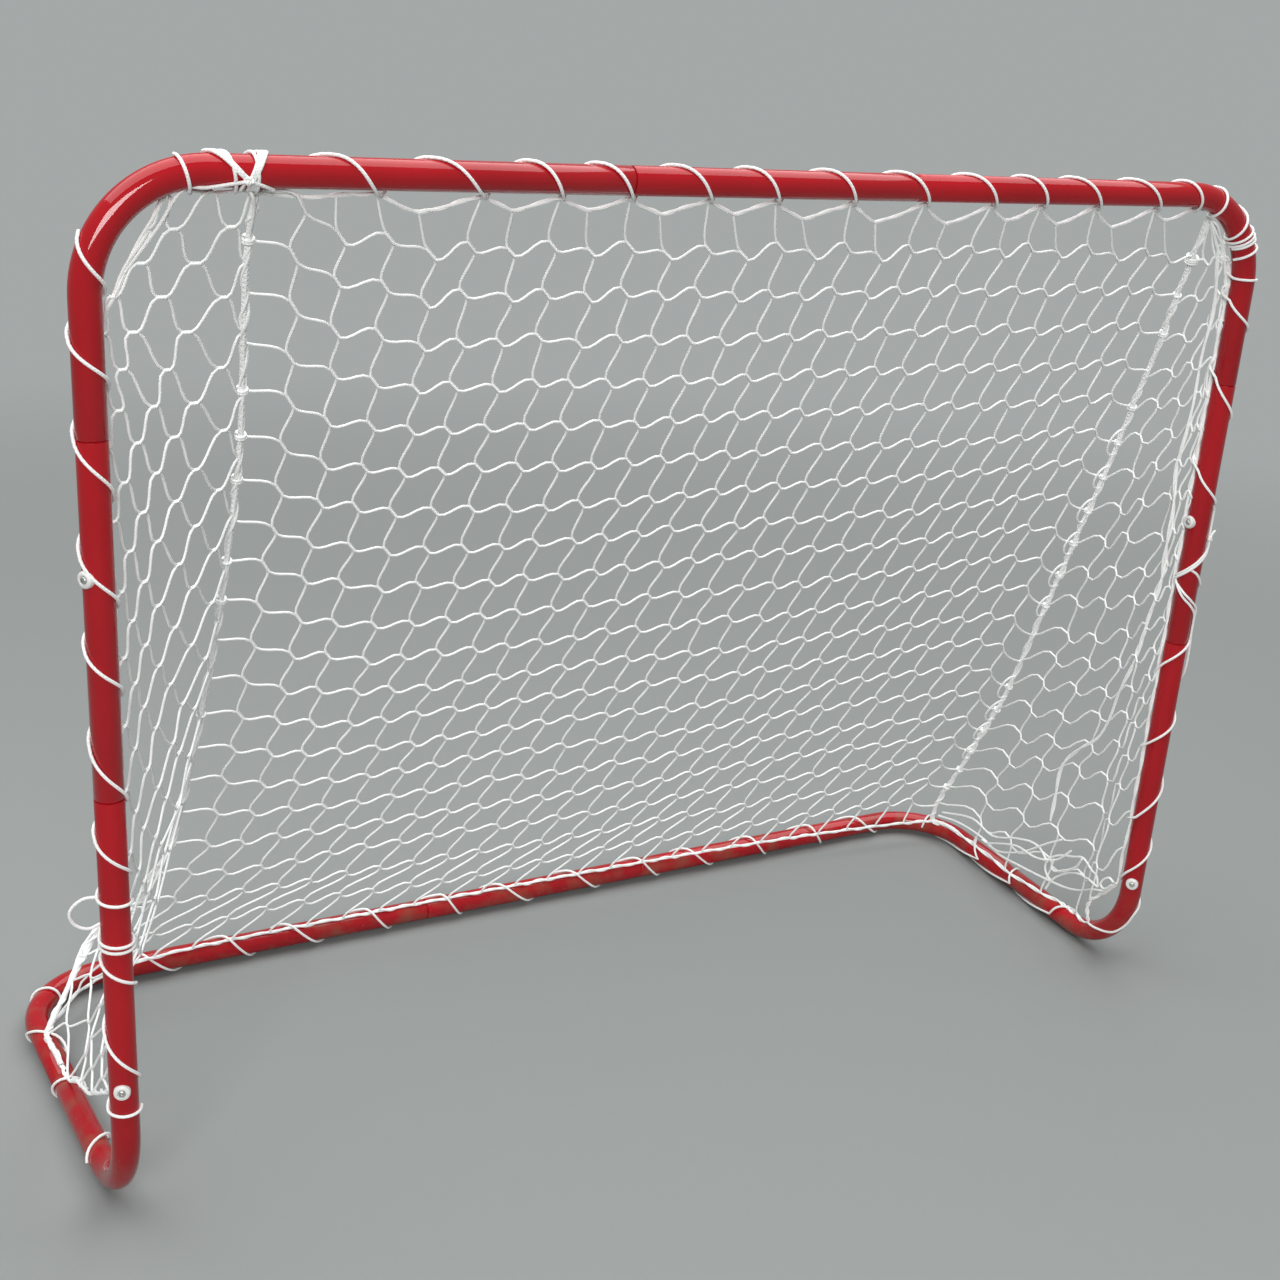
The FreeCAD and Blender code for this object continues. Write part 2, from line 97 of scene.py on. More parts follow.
def base_way(side):
    """The way in which a side of the base runs back."""
    return unit((side * (BACK_HALF - FRONT_HALF), BACK_Y - FRONT_Y, 0))


def length_of(line):
    return sum((after - before).length for before, after in zip(line, line[1:]))


print("a side of the base, from post to back tube:", round((BACK_Y - FRONT_Y) / base_way(1).y, 3))

# %% [markdown]
# ## Finishes
#
# The tubes have a thick glossy powder coat: it is not quite flat, so its reflections waver, and low down it is
# dulled by soil and scuffed. The net and its lacing are white man-made cord, and a fine slanted ribbing, with
# painted shade in its grooves, shows that they are braided. Each finish is built from nodes, so it stays sharp at
# any distance.

# %% A helper for node materials
class Finish:
    """A Principled material and short words for adding nodes to it."""

    def __init__(self, name, colour, roughness, metallic=0.0):
        self.material = bpy.data.materials.new(name)
        self.material.use_nodes = True
        self.nodes = self.material.node_tree.nodes
        self.shader = self.nodes["Principled BSDF"]
        self.feed(Base_Color=colour, Roughness=roughness, Metallic=metallic)

    def wire(self, socket, value):
        """Links a socket to another node, or sets it to a number or a colour."""
        if isinstance(value, bpy.types.NodeSocket):
            self.material.node_tree.links.new(value, socket)
        else:
            socket.default_value = (*value, 1) if isinstance(value, tuple) else value

    def feed(self, **inputs):
        """Wires sockets of the shader itself."""
        for key, value in inputs.items():
            self.wire(self.shader.inputs[key.replace("_", " ")], value)

    def add(self, kind, settings=(), **inputs):
        node = self.nodes.new(kind)
        for key, value in settings:
            setattr(node, key, value)
        for key, value in inputs.items():
            self.wire(node.inputs[key.replace("_", " ")], value)
        return node

    def place(self):
        return self.add("ShaderNodeTexCoord").outputs["Object"]

    def noise(self, scale, detail=3.0, vector=None):
        return self.add("ShaderNodeTexNoise", Scale=scale, Detail=detail, Vector=vector or self.place()).outputs["Fac"]

    def ramp(self, value, *stops):
        node = self.add("ShaderNodeValToRGB", Fac=value)
        band = node.color_ramp
        while len(band.elements) < len(stops):
            band.elements.new(0.5)
        for element, (place, shade) in zip(band.elements, stops):
            element.position = place
            element.color = (*shade, 1) if isinstance(shade, tuple) else (shade, shade, shade, 1)
        return node.outputs["Color"]

    def math(self, operation, first, second=0.0):
        node = self.add("ShaderNodeMath", [("operation", operation)])
        self.wire(node.inputs[0], first)
        self.wire(node.inputs[1], second)
        return node.outputs[0]

    def mix(self, share, first, second, blend="MIX"):
        node = self.add("ShaderNodeMix", [("data_type", "RGBA"), ("blend_type", blend)])
        for index, value in ((0, share), (6, first), (7, second)):
            self.wire(node.inputs[index], value)
        return node.outputs[2]

    def bump(self, height, distance, strength=1.0):
        node = self.add("ShaderNodeBump", Height=height, Distance=distance, Strength=strength)
        self.feed(Normal=node.outputs["Normal"])


# %% The red powder coat
RED = (0.41, 0.0040, 0.0095)
DEEP_RED = (0.32, 0.0028, 0.0070)
SCUFFED = (0.62, 0.20, 0.20)
SOIL = (0.20, 0.12, 0.07)
SOIL_TOP = 0.16


def make_red_paint():
    paint = Finish("red_powder_coat", RED, 0.3)
    paint.feed(Coat_Weight=1.0, Coat_IOR=1.45, Coat_Roughness=0.06, Specular_IOR_Level=0.0)
    place = paint.place()
    cloudy = paint.ramp(paint.noise(5.0, 4.0, place), (0.35, RED), (0.75, DEEP_RED))
    height = paint.add("ShaderNodeSeparateXYZ", Vector=place).outputs["Z"]
    low = paint.add("ShaderNodeMapRange", Value=height, From_Min=SOIL_TOP, From_Max=0.0).outputs["Result"]
    patches = paint.ramp(paint.noise(26.0, 6.0, place), (0.46, 0.0), (0.68, 1.0))
    soiled = paint.math("MULTIPLY", paint.math("MULTIPLY", low, patches), 0.5)
    scuffs = paint.ramp(paint.noise(190.0, 2.0, place), (0.70, 0.0), (0.78, 1.0))
    worn = paint.math("MULTIPLY", scuffs, paint.math("MULTIPLY", low, 0.6))
    paint.feed(Base_Color=paint.mix(worn, paint.mix(soiled, cloudy, SOIL), SCUFFED))
    paint.feed(Roughness=paint.math("ADD", paint.math("MULTIPLY", soiled, 0.6), 0.28))
    ripple = paint.noise(60.0, 2.0, place)
    grain = paint.noise(900.0, 1.0, place)
    paint.bump(paint.math("ADD", ripple, paint.math("MULTIPLY", grain, 0.12)), 0.0006, 0.35)
    return paint.material


# %% Braided cords
def make_cord(name, colour, dull, pitch, depth):
    """White braid with painted shade in its grooves: ribs slant both ways round the cord. U of its UV map is in
    metres, and V goes once round it.
    """
    cord = Finish(name, colour, 0.72)
    cord.feed(Sheen_Weight=0.25, Sheen_Roughness=0.5)
    split = cord.add("ShaderNodeSeparateXYZ", Vector=cord.add("ShaderNodeTexCoord").outputs["UV"])
    along = cord.math("MULTIPLY", split.outputs["X"], 1 / pitch)
    ribs = []
    for slant in (2.0, -2.0):
        turned = cord.math("ADD", along, cord.math("MULTIPLY", split.outputs["Y"], slant))
        ribs.append(cord.math("SINE", cord.math("MULTIPLY", turned, math.tau)))
    braid = cord.math("MAXIMUM", ribs[0], ribs[1])
    tint = cord.ramp(cord.noise(9.0, 4.0), (0.35, colour), (0.72, dull))
    # painted shade: the white is multiplied darker in the grooves between the braid's ribs
    shade = cord.ramp(cord.math("MULTIPLY", cord.math("ADD", braid, 1.0), 0.5), (0.0, 0.82), (0.6, 1.0))
    cord.feed(Base_Color=cord.mix(0.40, tint, shade, "MULTIPLY"))
    cord.bump(braid, depth)
    return cord.material


# %% Plastic and zinc
def make_plastic():
    plastic = Finish("white_plastic", (0.80, 0.80, 0.78), 0.38)
    place = plastic.place()
    plastic.feed(Base_Color=plastic.ramp(plastic.noise(120.0, 4.0, place), (0.4, (0.82, 0.82, 0.80)),
                                         (0.8, (0.66, 0.65, 0.61))))
    plastic.bump(plastic.noise(700.0, 2.0, place), 0.0001, 0.5)
    return plastic.material


def make_zinc():
    zinc = Finish("zinc_plate", (0.60, 0.60, 0.58), 0.34, 1.0)
    place = zinc.place()
    zinc.feed(Roughness=zinc.math("ADD", zinc.math("MULTIPLY", zinc.noise(500.0, 3.0, place), 0.3), 0.2))
    zinc.bump(zinc.noise(1500.0, 2.0, place), 0.00005, 0.4)
    return zinc.material


red_paint = make_red_paint()
net_cord = make_cord("net_cord", (0.95, 0.96, 0.95), (0.88, 0.90, 0.88), pitch=0.0034, depth=0.00012)
lacing_cord = make_cord("lacing_cord", (0.94, 0.94, 0.93), (0.87, 0.88, 0.86), pitch=0.0040, depth=0.0002)
rope_cord = make_cord("rope_cord", (0.94, 0.94, 0.93), (0.85, 0.86, 0.84), pitch=0.0060, depth=0.0003)
white_plastic = make_plastic()
zinc_plate = make_zinc()
print("materials:", [material.name for material in bpy.data.materials])

# %% [markdown]
# ## Keeping a piece
#
# Each finished piece is one object at the origin with its place in its mesh. It rides on the goal's one body, takes
# its finish, and hides the CAD nodes that it stands for.

# %% The helpers that keep a piece
def keep(name, mesh, material, slot, *nodes, sharp=40):
    """A finished piece on the goal's body."""
    mesh.name = name
    mesh.shade_smooth()
    mesh.set_sharp_from_angle(angle=math.radians(sharp))
    mesh.materials.clear()
    mesh.materials.append(material)
    piece = bpy.data.objects.new(name, mesh)
    bpy.context.scene.collection.objects.link(piece)
    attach(piece, "root")
    if nodes:
        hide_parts(*nodes)
    print(name, "faces:", len(mesh.polygons))
    return piece


def from_bmesh(bm):
    mesh = bpy.data.meshes.new("piece")
    bm.to_mesh(mesh)
    bm.free()
    return mesh


# %% [markdown]
# ## The tubes
#
# A real tube is drawn through a bending machine, and one end is squeezed to a narrower spigot that pushes into the
# next tube. So each is made the same way: a ring of edges is extruded along the straight runs, spun round the bend
# and scaled where it narrows. A Solidify modifier then gives it its 1.2 mm wall.

# %% Drawing out a ring of edges
WALL = 0.0012
SPIGOT = 0.0145
SPIGOT_LENGTH = 0.045
RING_SIDES = 56
BEND_STEPS = 26
LIP = 0.0004


def unique(items):
    return list(dict.fromkeys(items))


def new_ring(bm, place, direction, radius):
    turn = direction.to_track_quat("Z", "X").to_matrix().to_4x4()
    made = bmesh.ops.create_circle(bm, segments=RING_SIDES, radius=radius, matrix=Matrix.Translation(place) @ turn)
    return unique(edge for vert in made["verts"] for edge in vert.link_edges)


def draw_out(bm, edges, shift, growth=1.0):
    """Extrudes a ring of edges by a shift and scales the new ring. Gives the new ring's edges."""
    made = bmesh.ops.extrude_edge_only(bm, edges=edges)["geom"]
    verts = [item for item in made if isinstance(item, bmesh.types.BMVert)]
    bmesh.ops.translate(bm, vec=shift, verts=verts)
    middle = sum((vert.co for vert in verts), Vector()) / len(verts)
    bmesh.ops.scale(bm, vec=(growth,) * 3, space=Matrix.Translation(-middle), verts=verts)
    rim = set(verts)
    return unique(edge for vert in verts for edge in vert.link_edges if rim.issuperset(edge.verts))


def end_steps(kind):
    """Steps from a joint into the tube, as (distance from the joint, radius), outermost first."""
    if kind == "spigot":
        return [(-SPIGOT_LENGTH, SPIGOT - LIP), (-SPIGOT_LENGTH + LIP, SPIGOT), (LIP, SPIGOT),
                (0.0016, TUBE - LIP), (0.0022, TUBE)]
    return [(0.0, TUBE - LIP), (LIP / 2, TUBE - LIP / 4), (LIP * 1.5, TUBE)]


# %% One tube from joint to joint
def tube_mesh(start, end, corner, bend_radius, first_end, last_end):
    """One tube between two joints, straight or with one bend."""
    bm = bmesh.new()
    arrive = unit((corner or end) - start)
    leave = unit(end - (corner or start))
    steps = end_steps(first_end)
    edges = new_ring(bm, start + arrive * steps[0][0], arrive, steps[0][1])
    for (before, radius), (after, next_radius) in zip(steps, steps[1:]):
        edges = draw_out(bm, edges, arrive * (after - before), next_radius / radius)
    place = start + arrive * steps[-1][0]
    if corner:
        turn = arrive.angle(leave)
        setback = bend_radius * math.tan(turn / 2)
        bend_start = corner - arrive * setback
        edges = draw_out(bm, edges, bend_start - place)
        inward = unit(leave - arrive * arrive.dot(leave))
        made = bmesh.ops.spin(
            bm, geom=edges, cent=bend_start + inward * bend_radius, axis=arrive.cross(inward),
            angle=turn, steps=BEND_STEPS, use_duplicate=False,
        )
        edges = [item for item in made["geom_last"] if isinstance(item, bmesh.types.BMEdge)]
        place = corner + leave * setback
    steps = end_steps(last_end)[::-1]
    edges = draw_out(bm, edges, end - leave * steps[0][0] - place)
    for (before, radius), (after, next_radius) in zip(steps, steps[1:]):
        edges = draw_out(bm, edges, leave * (before - after), next_radius / radius)
    bmesh.ops.recalc_face_normals(bm, faces=bm.faces[:])
    return from_bmesh(bm)


# %% The ten tubes
HALF_BAR = 0.191
UPPER_JOINT = 0.255
LOWER_JOINT = 0.531
BASE_JOINT = 0.292


def make_tubes():
    tubes = [(name, (-HALF_BAR, y, z), (HALF_BAR, y, z), None, 0, "open", "open")
             for name, y, z in (("crossbar_centre", FRONT_Y, TOP_Z), ("base_back_centre", BACK_Y, BASE_Z))]
    for name, side in (("left", -1), ("right", 1)):
        top_corner = (side * FRONT_HALF, FRONT_Y, TOP_Z)
        upper = (side * FRONT_HALF, FRONT_Y, TOP_Z - UPPER_JOINT)
        lower = (side * FRONT_HALF, FRONT_Y, BASE_Z + LOWER_JOINT)
        foot = foot_corner(side)
        base_joint = foot + base_way(side) * BASE_JOINT
        back_corner = (side * BACK_HALF, BACK_Y, BASE_Z)
        back_joint = (side * HALF_BAR, BACK_Y, BASE_Z)
        tubes += [
            ("top_corner_" + name, (side * HALF_BAR, FRONT_Y, TOP_Z), upper, top_corner, BEND, "spigot", "spigot"),
            ("post_middle_" + name, upper, lower, None, 0, "open", "spigot"),
            ("foot_" + name, lower, base_joint, foot, BEND, "open", "open"),
            ("base_corner_" + name, base_joint, back_joint, back_corner, CORNER_BEND, "spigot", "spigot"),
        ]
    for name, start, end, corner, bend_radius, first_end, last_end in tubes:
        corner = Vector(corner) if corner else None
        mesh = tube_mesh(Vector(start), Vector(end), corner, bend_radius, first_end, last_end)
        piece = keep(name + "_tube", mesh, red_paint, "red_paint", name)
        wall = piece.modifiers.new("wall", "SOLIDIFY")
        wall.thickness = WALL
        wall.offset = -1
        wall.use_even_offset = True


make_tubes()

# %% [markdown]
# ## Cap washers and screws
#
# Four white plastic cap washers sit on the posts, each held by a small pan head screw in a round recess. A washer is
# a profile spun round its axis. Its underside is then pulled down onto the curve of the tube. The screw is spun as
# well, its shank and the flank of its head. The top of the head is a grid of three by three faces: it is bridged to
# the round rim, and its middle row and column are pushed in as the cross.

# %% Spun profiles
# each place: X, height and how far it is turned from the front, in degrees
CAP_PLACES = [
    (-FRONT_HALF, BASE_Z + 0.775, 58.0),
    (-FRONT_HALF, BASE_Z + 0.180, 17.0),
    (FRONT_HALF, BASE_Z + 0.715, 96.0),
    (FRONT_HALF, BASE_Z + 0.138, 48.0),
]
WASHER_PROFILE = [
    (0.0023, 0.0024), (0.0047, 0.0024), (0.0050, 0.0027), (0.0051, 0.0038), (0.0055, 0.0041), (0.0072, 0.0040),
    (0.0082, 0.0036), (0.0089, 0.0028), (0.00925, 0.0014), (0.00925, -0.0006),
]
HEAD_PROFILE = [
    (0.0030, 0.0047), (0.0036, 0.0044), (0.0040, 0.0037), (0.0041, 0.0030), (0.0040, 0.0024), (0.0020, 0.0024),
    (0.0019, -0.0050), (0.0012, -0.0070),
]


def cap_space(x, z, turn):
    """The space of a cap: its Z axis points out of the post, its origin is on the tube's face."""
    angle = math.radians(turn)
    outward = Vector((-math.sin(angle), -math.cos(angle), 0))
    around = UP.cross(outward)
    place = Vector((x, FRONT_Y, z)) + outward * TUBE
    return Matrix.Translation(place) @ Matrix((around, UP, outward)).transposed().to_4x4()


def spun(profile, steps):
    bm = bmesh.new()
    verts = [bm.verts.new((radius, 0, height)) for radius, height in profile]
    edges = [bm.edges.new(pair) for pair in zip(verts, verts[1:])]
    bmesh.ops.spin(bm, geom=verts + edges, cent=(0, 0, 0), axis=(0, 0, 1), angle=math.tau, steps=steps,
                   use_merge=True, use_duplicate=False)
    return bm


# %% A washer
def washer(space):
    bm = spun(WASHER_PROFILE, 48)
    for vert in bm.verts:
        if vert.co.z < 0:
            vert.co.z = math.sqrt(TUBE ** 2 - vert.co.x ** 2) - TUBE + 0.0001
    bmesh.ops.transform(bm, matrix=space, verts=bm.verts[:])
    return bm


# %% A screw
HEAD_TOP = 0.0049
HEAD_FLAT = 0.0016
CROSS_HALF = 0.00035
CROSS_DEPTH = 0.0012


def pan_head(space):
    bm = spun(HEAD_PROFILE, 32)
    open_edges = [edge for edge in bm.edges if edge.is_boundary]
    bmesh.ops.contextual_create(bm, geom=[edge for edge in open_edges if edge.verts[0].co.z < 0])
    rim = [edge for edge in open_edges if edge.verts[0].co.z > 0]
    grid = bmesh.ops.create_grid(bm, x_segments=3, y_segments=3, size=HEAD_FLAT,
                                 matrix=Matrix.Translation((0, 0, HEAD_TOP)))["verts"]
    for vert in grid:
        for axis in (0, 1):
            if abs(vert.co[axis]) < HEAD_FLAT * 0.9:
                vert.co[axis] = math.copysign(CROSS_HALF, vert.co[axis])
    square = unique(edge for vert in grid for edge in vert.link_edges if edge.is_boundary)
    cross = []
    for face in unique(face for vert in grid for face in vert.link_faces):
        middle = face.calc_center_median()
        if min(abs(middle.x), abs(middle.y)) < CROSS_HALF / 2:
            cross.append(face)
    bmesh.ops.bridge_loops(bm, edges=square + rim)
    sunk = bmesh.ops.extrude_face_region(bm, geom=cross)["geom"]
    bmesh.ops.translate(bm, vec=(0, 0, -CROSS_DEPTH), verts=[v for v in sunk if isinstance(v, bmesh.types.BMVert)])
    bmesh.ops.delete(bm, geom=cross, context="FACES")
    bmesh.ops.recalc_face_normals(bm, faces=bm.faces[:])
    bmesh.ops.transform(bm, matrix=space, verts=bm.verts[:])
    return bm


# %% The four caps
def joined(parts):
    """One mesh from several small ones."""
    whole = bmesh.new()
    for part in parts:
        mesh = from_bmesh(part)
        whole.from_mesh(mesh)
        bpy.data.meshes.remove(mesh)
    return from_bmesh(whole)


spaces = [cap_space(*place) for place in CAP_PLACES]
keep("cap_washers_moulded", joined(washer(space) for space in spaces), white_plastic, "white_plastic", "cap_washers")
keep("cap_screws_pan_head", joined(pan_head(space) for space in spaces), zinc_plate, "screw_zinc", "cap_screws")

# %% [markdown]
# ## Cords
#
# Everything else is cord. A curve with a round bevel is the natural tool: it is made a mesh with its caps, and its
# UV map is stretched to the cord's true length, so that the braid has one scale on every piece.

# %% Cords from lines of points
def cord_mesh(strands, thickness, roundness=1):
    """Round cords along lists of points, as one mesh whose UV map runs in metres along each cord."""
    curve = bpy.data.curves.new("cords", "CURVE")
    curve.dimensions = "3D"
    curve.bevel_depth = thickness / 2
    curve.bevel_resolution = roundness
    curve.use_fill_caps = True
    sides = 4 + 2 * roundness
    lengths = []
    for strand in strands:
        spline = curve.splines.new("POLY")
        spline.points.add(len(strand) - 1)
        for point, place in zip(spline.points, strand):
            point.co = (*place, 1)
        lengths += [length_of(strand)] * ((len(strand) - 1) * sides)
    holder = bpy.data.objects.new("cords", curve)
    bpy.context.scene.collection.objects.link(holder)
    mesh = bpy.data.meshes.new_from_object(holder)
    bpy.data.objects.remove(holder)
    bpy.data.curves.remove(curve)
    quads = [polygon for polygon in mesh.polygons if len(polygon.vertices) == 4]
    scale = mesh.uv_layers[0].data
    for polygon, length in zip(quads, lengths):
        for loop in polygon.loop_indices:
            scale[loop].uv.x *= length
    bm = bmesh.new()
    bm.from_mesh(mesh)
    bmesh.ops.remove_doubles(bm, verts=bm.verts[:], dist=1e-6)
    bm.to_mesh(mesh)
    bm.free()
    return mesh


# %% Soft lines
def smooth_line(points, parts):
    """A soft line through points, its handles a third of the way to the neighbours."""
    line = []
    for index in range(len(points) - 1):
        before = points[max(index - 1, 0)]
        start, end = points[index], points[index + 1]
        after = points[min(index + 2, len(points) - 1)]
        reach = (end - start).length / 3
        first = start + unit(end - before) * reach
        last = end - unit(after - start) * reach
        line += interpolate_bezier(start, first, last, end, parts + 1)[:-1]
    return line + [points[-1]]


# %% [markdown]
# ## The ropes of the back corners
#
# At each back corner the net is gathered on a rope. Both ropes start at the crossbar and end along the side of the
# base. The pull of the side nets draws them forward out of the sloping plane, so each point of a rope is given by
# its X, how far down the slope it is, and how far it is pulled forward. A short tail hangs on below the last one.

# %% Where the ropes run
ROPE_ROUTES = {
    "left": [(-0.597, 0.018, 0), (-0.599, 0.085, 0), (-0.593, 0.181, 0), (-0.582, 0.325, 0), (-0.580, 0.441, 0),
             (-0.581, 0.566, 0), (-0.585, 0.702, 0), (-0.597, 0.907, 0), (-0.610, 1.030, 0), (-0.632, 1.092, 0),
             (-0.645, 1.145, 0), (-0.669, 1.163, 0), (-0.699, 1.184, 0.004), (-0.745, 1.194, 0.068),
             (-0.7905, 1.2036, 0.138)],
    "right": [(0.692, 0.030, 0), (0.7077, 0.116, 0), (0.7166, 0.168, 0), (0.730, 0.242, 0.003),
              (0.7385, 0.323, 0.005), (0.747, 0.3955, 0.009), (0.7535, 0.485, 0.015), (0.760, 0.571, 0.018),
              (0.765, 0.645, 0.023), (0.769, 0.729, 0.028), (0.773, 0.836, 0.036), (0.777, 0.9435, 0.0415),
              (0.7795, 1.035, 0.037), (0.779, 1.128, 0.035), (0.775, 1.189, 0.032), (0.770, 1.229, 0.038),
              (0.766, 1.2505, 0.048)],
}
ROPE_TAILS = {"left": [Vector((-0.7885, 0.075, 0.0412)), Vector((-0.7852, 0.030, 0.0408))],
              "right": [Vector((0.778, 0.196, 0.0375)), Vector((0.781, 0.155, 0.0375))]}
ropes = {name: smooth_line([on_fall(x, drop) + OUT_OF_NET * pulled for x, drop, pulled in route], 10)
         for name, route in ROPE_ROUTES.items()}
print("ropes without their tails:", {name: round(length_of(line), 3) for name, line in ropes.items()})


# %% A point of a rope
def rope_at(name, drop):
    """The point of a rope this far down the slope, found between its nearest points."""
    line = ropes[name]
    level = TOP_Z + FALL.z * drop
    if level >= line[0].z:
        return line[0].copy()
    for first, second in zip(line, line[1:]):
        if second.z <= level:
            return first.lerp(second, (first.z - level) / max(first.z - second.z, 1e-9))
    return line[-1].copy()


# %% [markdown]
# ## Winds, hitches, knots and curls
#
# A cord wound round another is a spiral about its line. A real one is never even, so its angle and its distance
# waver slowly. A hitch is a short tight spiral, a knot is the closed line that mathematicians call a trefoil, and a
# curl is a slack loop of netting that stands out beside the rope.

# %% Lines that wind
def beside(way):
    """Two directions at right angles to a line."""
    side = unit(way.cross(OUT_OF_NET))
    return side, way.cross(side)


def wound_round(line, radius, turns, start, steps_per_turn=10):
    """A line that winds loosely round another, closer to it at both ends."""
    count = int(turns * steps_per_turn)
    wound = []
    for step in range(count + 1):
        share = step / count * (len(line) - 1)
        index = min(int(share), len(line) - 2)
        place = line[index].lerp(line[index + 1], share - index)
        side, other = beside(unit(line[index + 1] - line[index]))
        angle = math.tau * (turns * step / count) + start + 0.8 * math.sin(step * 0.11 + start)
        swell = radius * (1 + 0.3 * math.sin(step * 0.23 + start))
        swell *= min(1, 0.3 + step * 0.2, 0.3 + (count - step) * 0.2)
        wound.append(place + side * (swell * math.cos(angle)) + other * (swell * math.sin(angle)))
    return wound


def hitch(place, way, radius, turns=1.6, rise=0.002):
    """A short coil of cord round a line."""
    side, other = beside(way)
    coil = []
    for step in range(int(turns * 10) + 1):
        angle = math.tau * step / 10
        coil.append(place + side * (radius * math.cos(angle)) + other * (radius * math.sin(angle))
                    + way * (rise * (step / 10 - turns / 2)))
    return coil


# %% Knots and curls
CURL_SHAPE = ((0.000, -0.013), (-0.006, -0.012), (-0.0105, -0.005), (-0.0105, 0.004), (-0.005, 0.010), (0.001, 0.009))


def overhand(place, size, spin=0.0):
    """The line of a small overhand knot."""
    turn = Matrix.Rotation(spin, 3, "Y")
    line = []
    for step in range(31):
        angle = math.tau * step / 30 + 0.4
        shape = Vector((math.sin(angle) + 2 * math.sin(2 * angle), -math.sin(3 * angle) * 1.2,
                        math.cos(angle) - 2 * math.cos(2 * angle)))
        line.append(place + turn @ shape * (size / 6))
    return line


def curl(place, way, size):
    """A slack loop of the netting beside the rope, on the side of the back net."""
    return smooth_line([place + ACROSS * (x * size) + way * (y * size) + OUT_OF_NET * 0.003
                        for x, y in CURL_SHAPE], 4)


# %% [markdown]
# ## The lattice of the back net
#
# The net's top border is taken up by the lacing, so it falls in scallops from turn to turn. Below it the rows run
# across from rope to rope. On the left they are tied one row higher than they hang, and on the right a little
# lower. The columns start at the border: every other one where a turn of lacing pulls it up.

# %% The top border
WRAP_FEET = [-0.668, -0.609, -0.475, -0.360, -0.270, -0.186, -0.087, 0.001, 0.106, 0.213, 0.316, 0.394, 0.485,
             0.588, 0.655]
BORDER_GAP = 0.0205
SWAG = 0.0205
SWAG_GAIN = 0.009
LOW_PLACE = 0.43
TIGHT_TO = -0.47
FIRST_COLUMN = -0.597
FIRST_SPACING = 0.0405


def hang_at(x):
    """How far the top border hangs below the crossbar's axis: it falls fast after a turn of lacing, then rises."""
    for left, right in zip(WRAP_FEET, WRAP_FEET[1:]):
        if left <= x <= right:
            share = (x - left) / (right - left)
            depth = SWAG + SWAG_GAIN * min(max(left + 0.1, 0) / 0.4, 1)
            depth *= min((right - left) / 0.10, 1.1)
            if right < TIGHT_TO:
                depth *= 0.3
            return BORDER_GAP + depth * min(share / LOW_PLACE, (1 - share) / (1 - LOW_PLACE)) ** 0.8
    return BORDER_GAP


def top_place(column):
    """The X of a column at the border: every other one is at a turn of lacing, and those between hang low."""
    if column < 3:
        return FIRST_COLUMN + FIRST_SPACING * column
    wrap = 2 + (column - 3) // 2
    if column % 2:
        return WRAP_FEET[wrap]
    return WRAP_FEET[wrap] + (WRAP_FEET[wrap + 1] - WRAP_FEET[wrap]) * LOW_PLACE


# %% Rows, and where they are tied
COLUMNS = 27
ROWS = 21
ROW_DROPS = [0.0] + [0.080 + 0.0614 * step for step in range(12)]
ROW_DROPS += [ROW_DROPS[-1] + 0.0573 * step for step in range(1, ROWS - 11)]
LEFT_LAG = (0.066, 0.050, 0.023, 0.012)
UNEVEN = (0.0, 0.011, 0.006, 0.0035, 0.002)
print("meshes of the back net:", COLUMNS, "x", ROWS, "down to", round(ROW_DROPS[-1], 3))


def left_lag(column, row):
    """How much higher the first columns hang than the rest of their row. It fades out at the base."""
    return LEFT_LAG[column] * min((ROWS - row) / 11, 1)


def right_lag(row):
    """A share, of how much lower a row is tied on the right. It is greatest rather low down."""
    return math.sin(math.pi * (row / ROWS) ** 1.8)


def rope_drop(name, row):
    """Where a row is tied to a rope."""
    if name == "right":
        return ROW_DROPS[row] + 0.012 + 0.045 * right_lag(row)
    return max(ROW_DROPS[row] - left_lag(0, row), 0.018)


# %% Crossings of the back net
def back_point(column, row):
    """A crossing of the back net, which bellies a little and is pulled forward beside the ropes."""
    if row == 0 and column < COLUMNS:
        x = top_place(column)
        return on_fall(x, hang_at(x))
    if column in (0, COLUMNS):
        name = "right" if column else "left"
        return rope_at(name, rope_drop(name, row))
    drop = ROW_DROPS[row]
    if column < len(LEFT_LAG):
        drop -= left_lag(column, row)
    elif column == COLUMNS - 1:
        drop += 0.014 * right_lag(row)
    if column % 2 == 0 and row < len(UNEVEN):
        drop += UNEVEN[row]
    left, right = rope_at("left", drop), rope_at("right", drop)
    share = column / COLUMNS
    place = on_fall(left.x + (right.x - left.x) * share, drop)
    belly = math.sin(math.pi * share) * math.sin(math.pi * row / ROWS)
    pulled = (left.y - place.y) * (1 - share) ** 24 + (right.y - place.y) * share ** 5
    return place + OUT_OF_NET * (0.009 * belly) + Vector((0, pulled, 0))


# %% [markdown]
# ## The ropes themselves
#
# A rope shows as a lumpy bundle: a core with two strands of netting wound loosely round it, and a small hitch where a
# row of the net is tied on, on the right often with a curl beside it. At the left rope's low end the netting is
# gathered in a thicker bunch.

# %% Ropes with their netting
ROPE = 0.0070
NETTING = 0.0034
TIED_SHARE = 0.6
CURLED_ROWS = range(6, 18)
BUNCH_FROM, BUNCH_TO = 0.075, 0.26
TOP_COIL = 0.098
# each wind: radius, turns and the angle at which it starts
ROPE_WINDS = ((0.0034, 24, 0.0), (0.0036, 19, 2.4))
BUNCH_WINDS = ((0.0060, 2.6, 0.6), (0.0065, 2.1, 2.9), (0.0050, 3.3, 4.6), (0.0070, 1.4, 5.5))


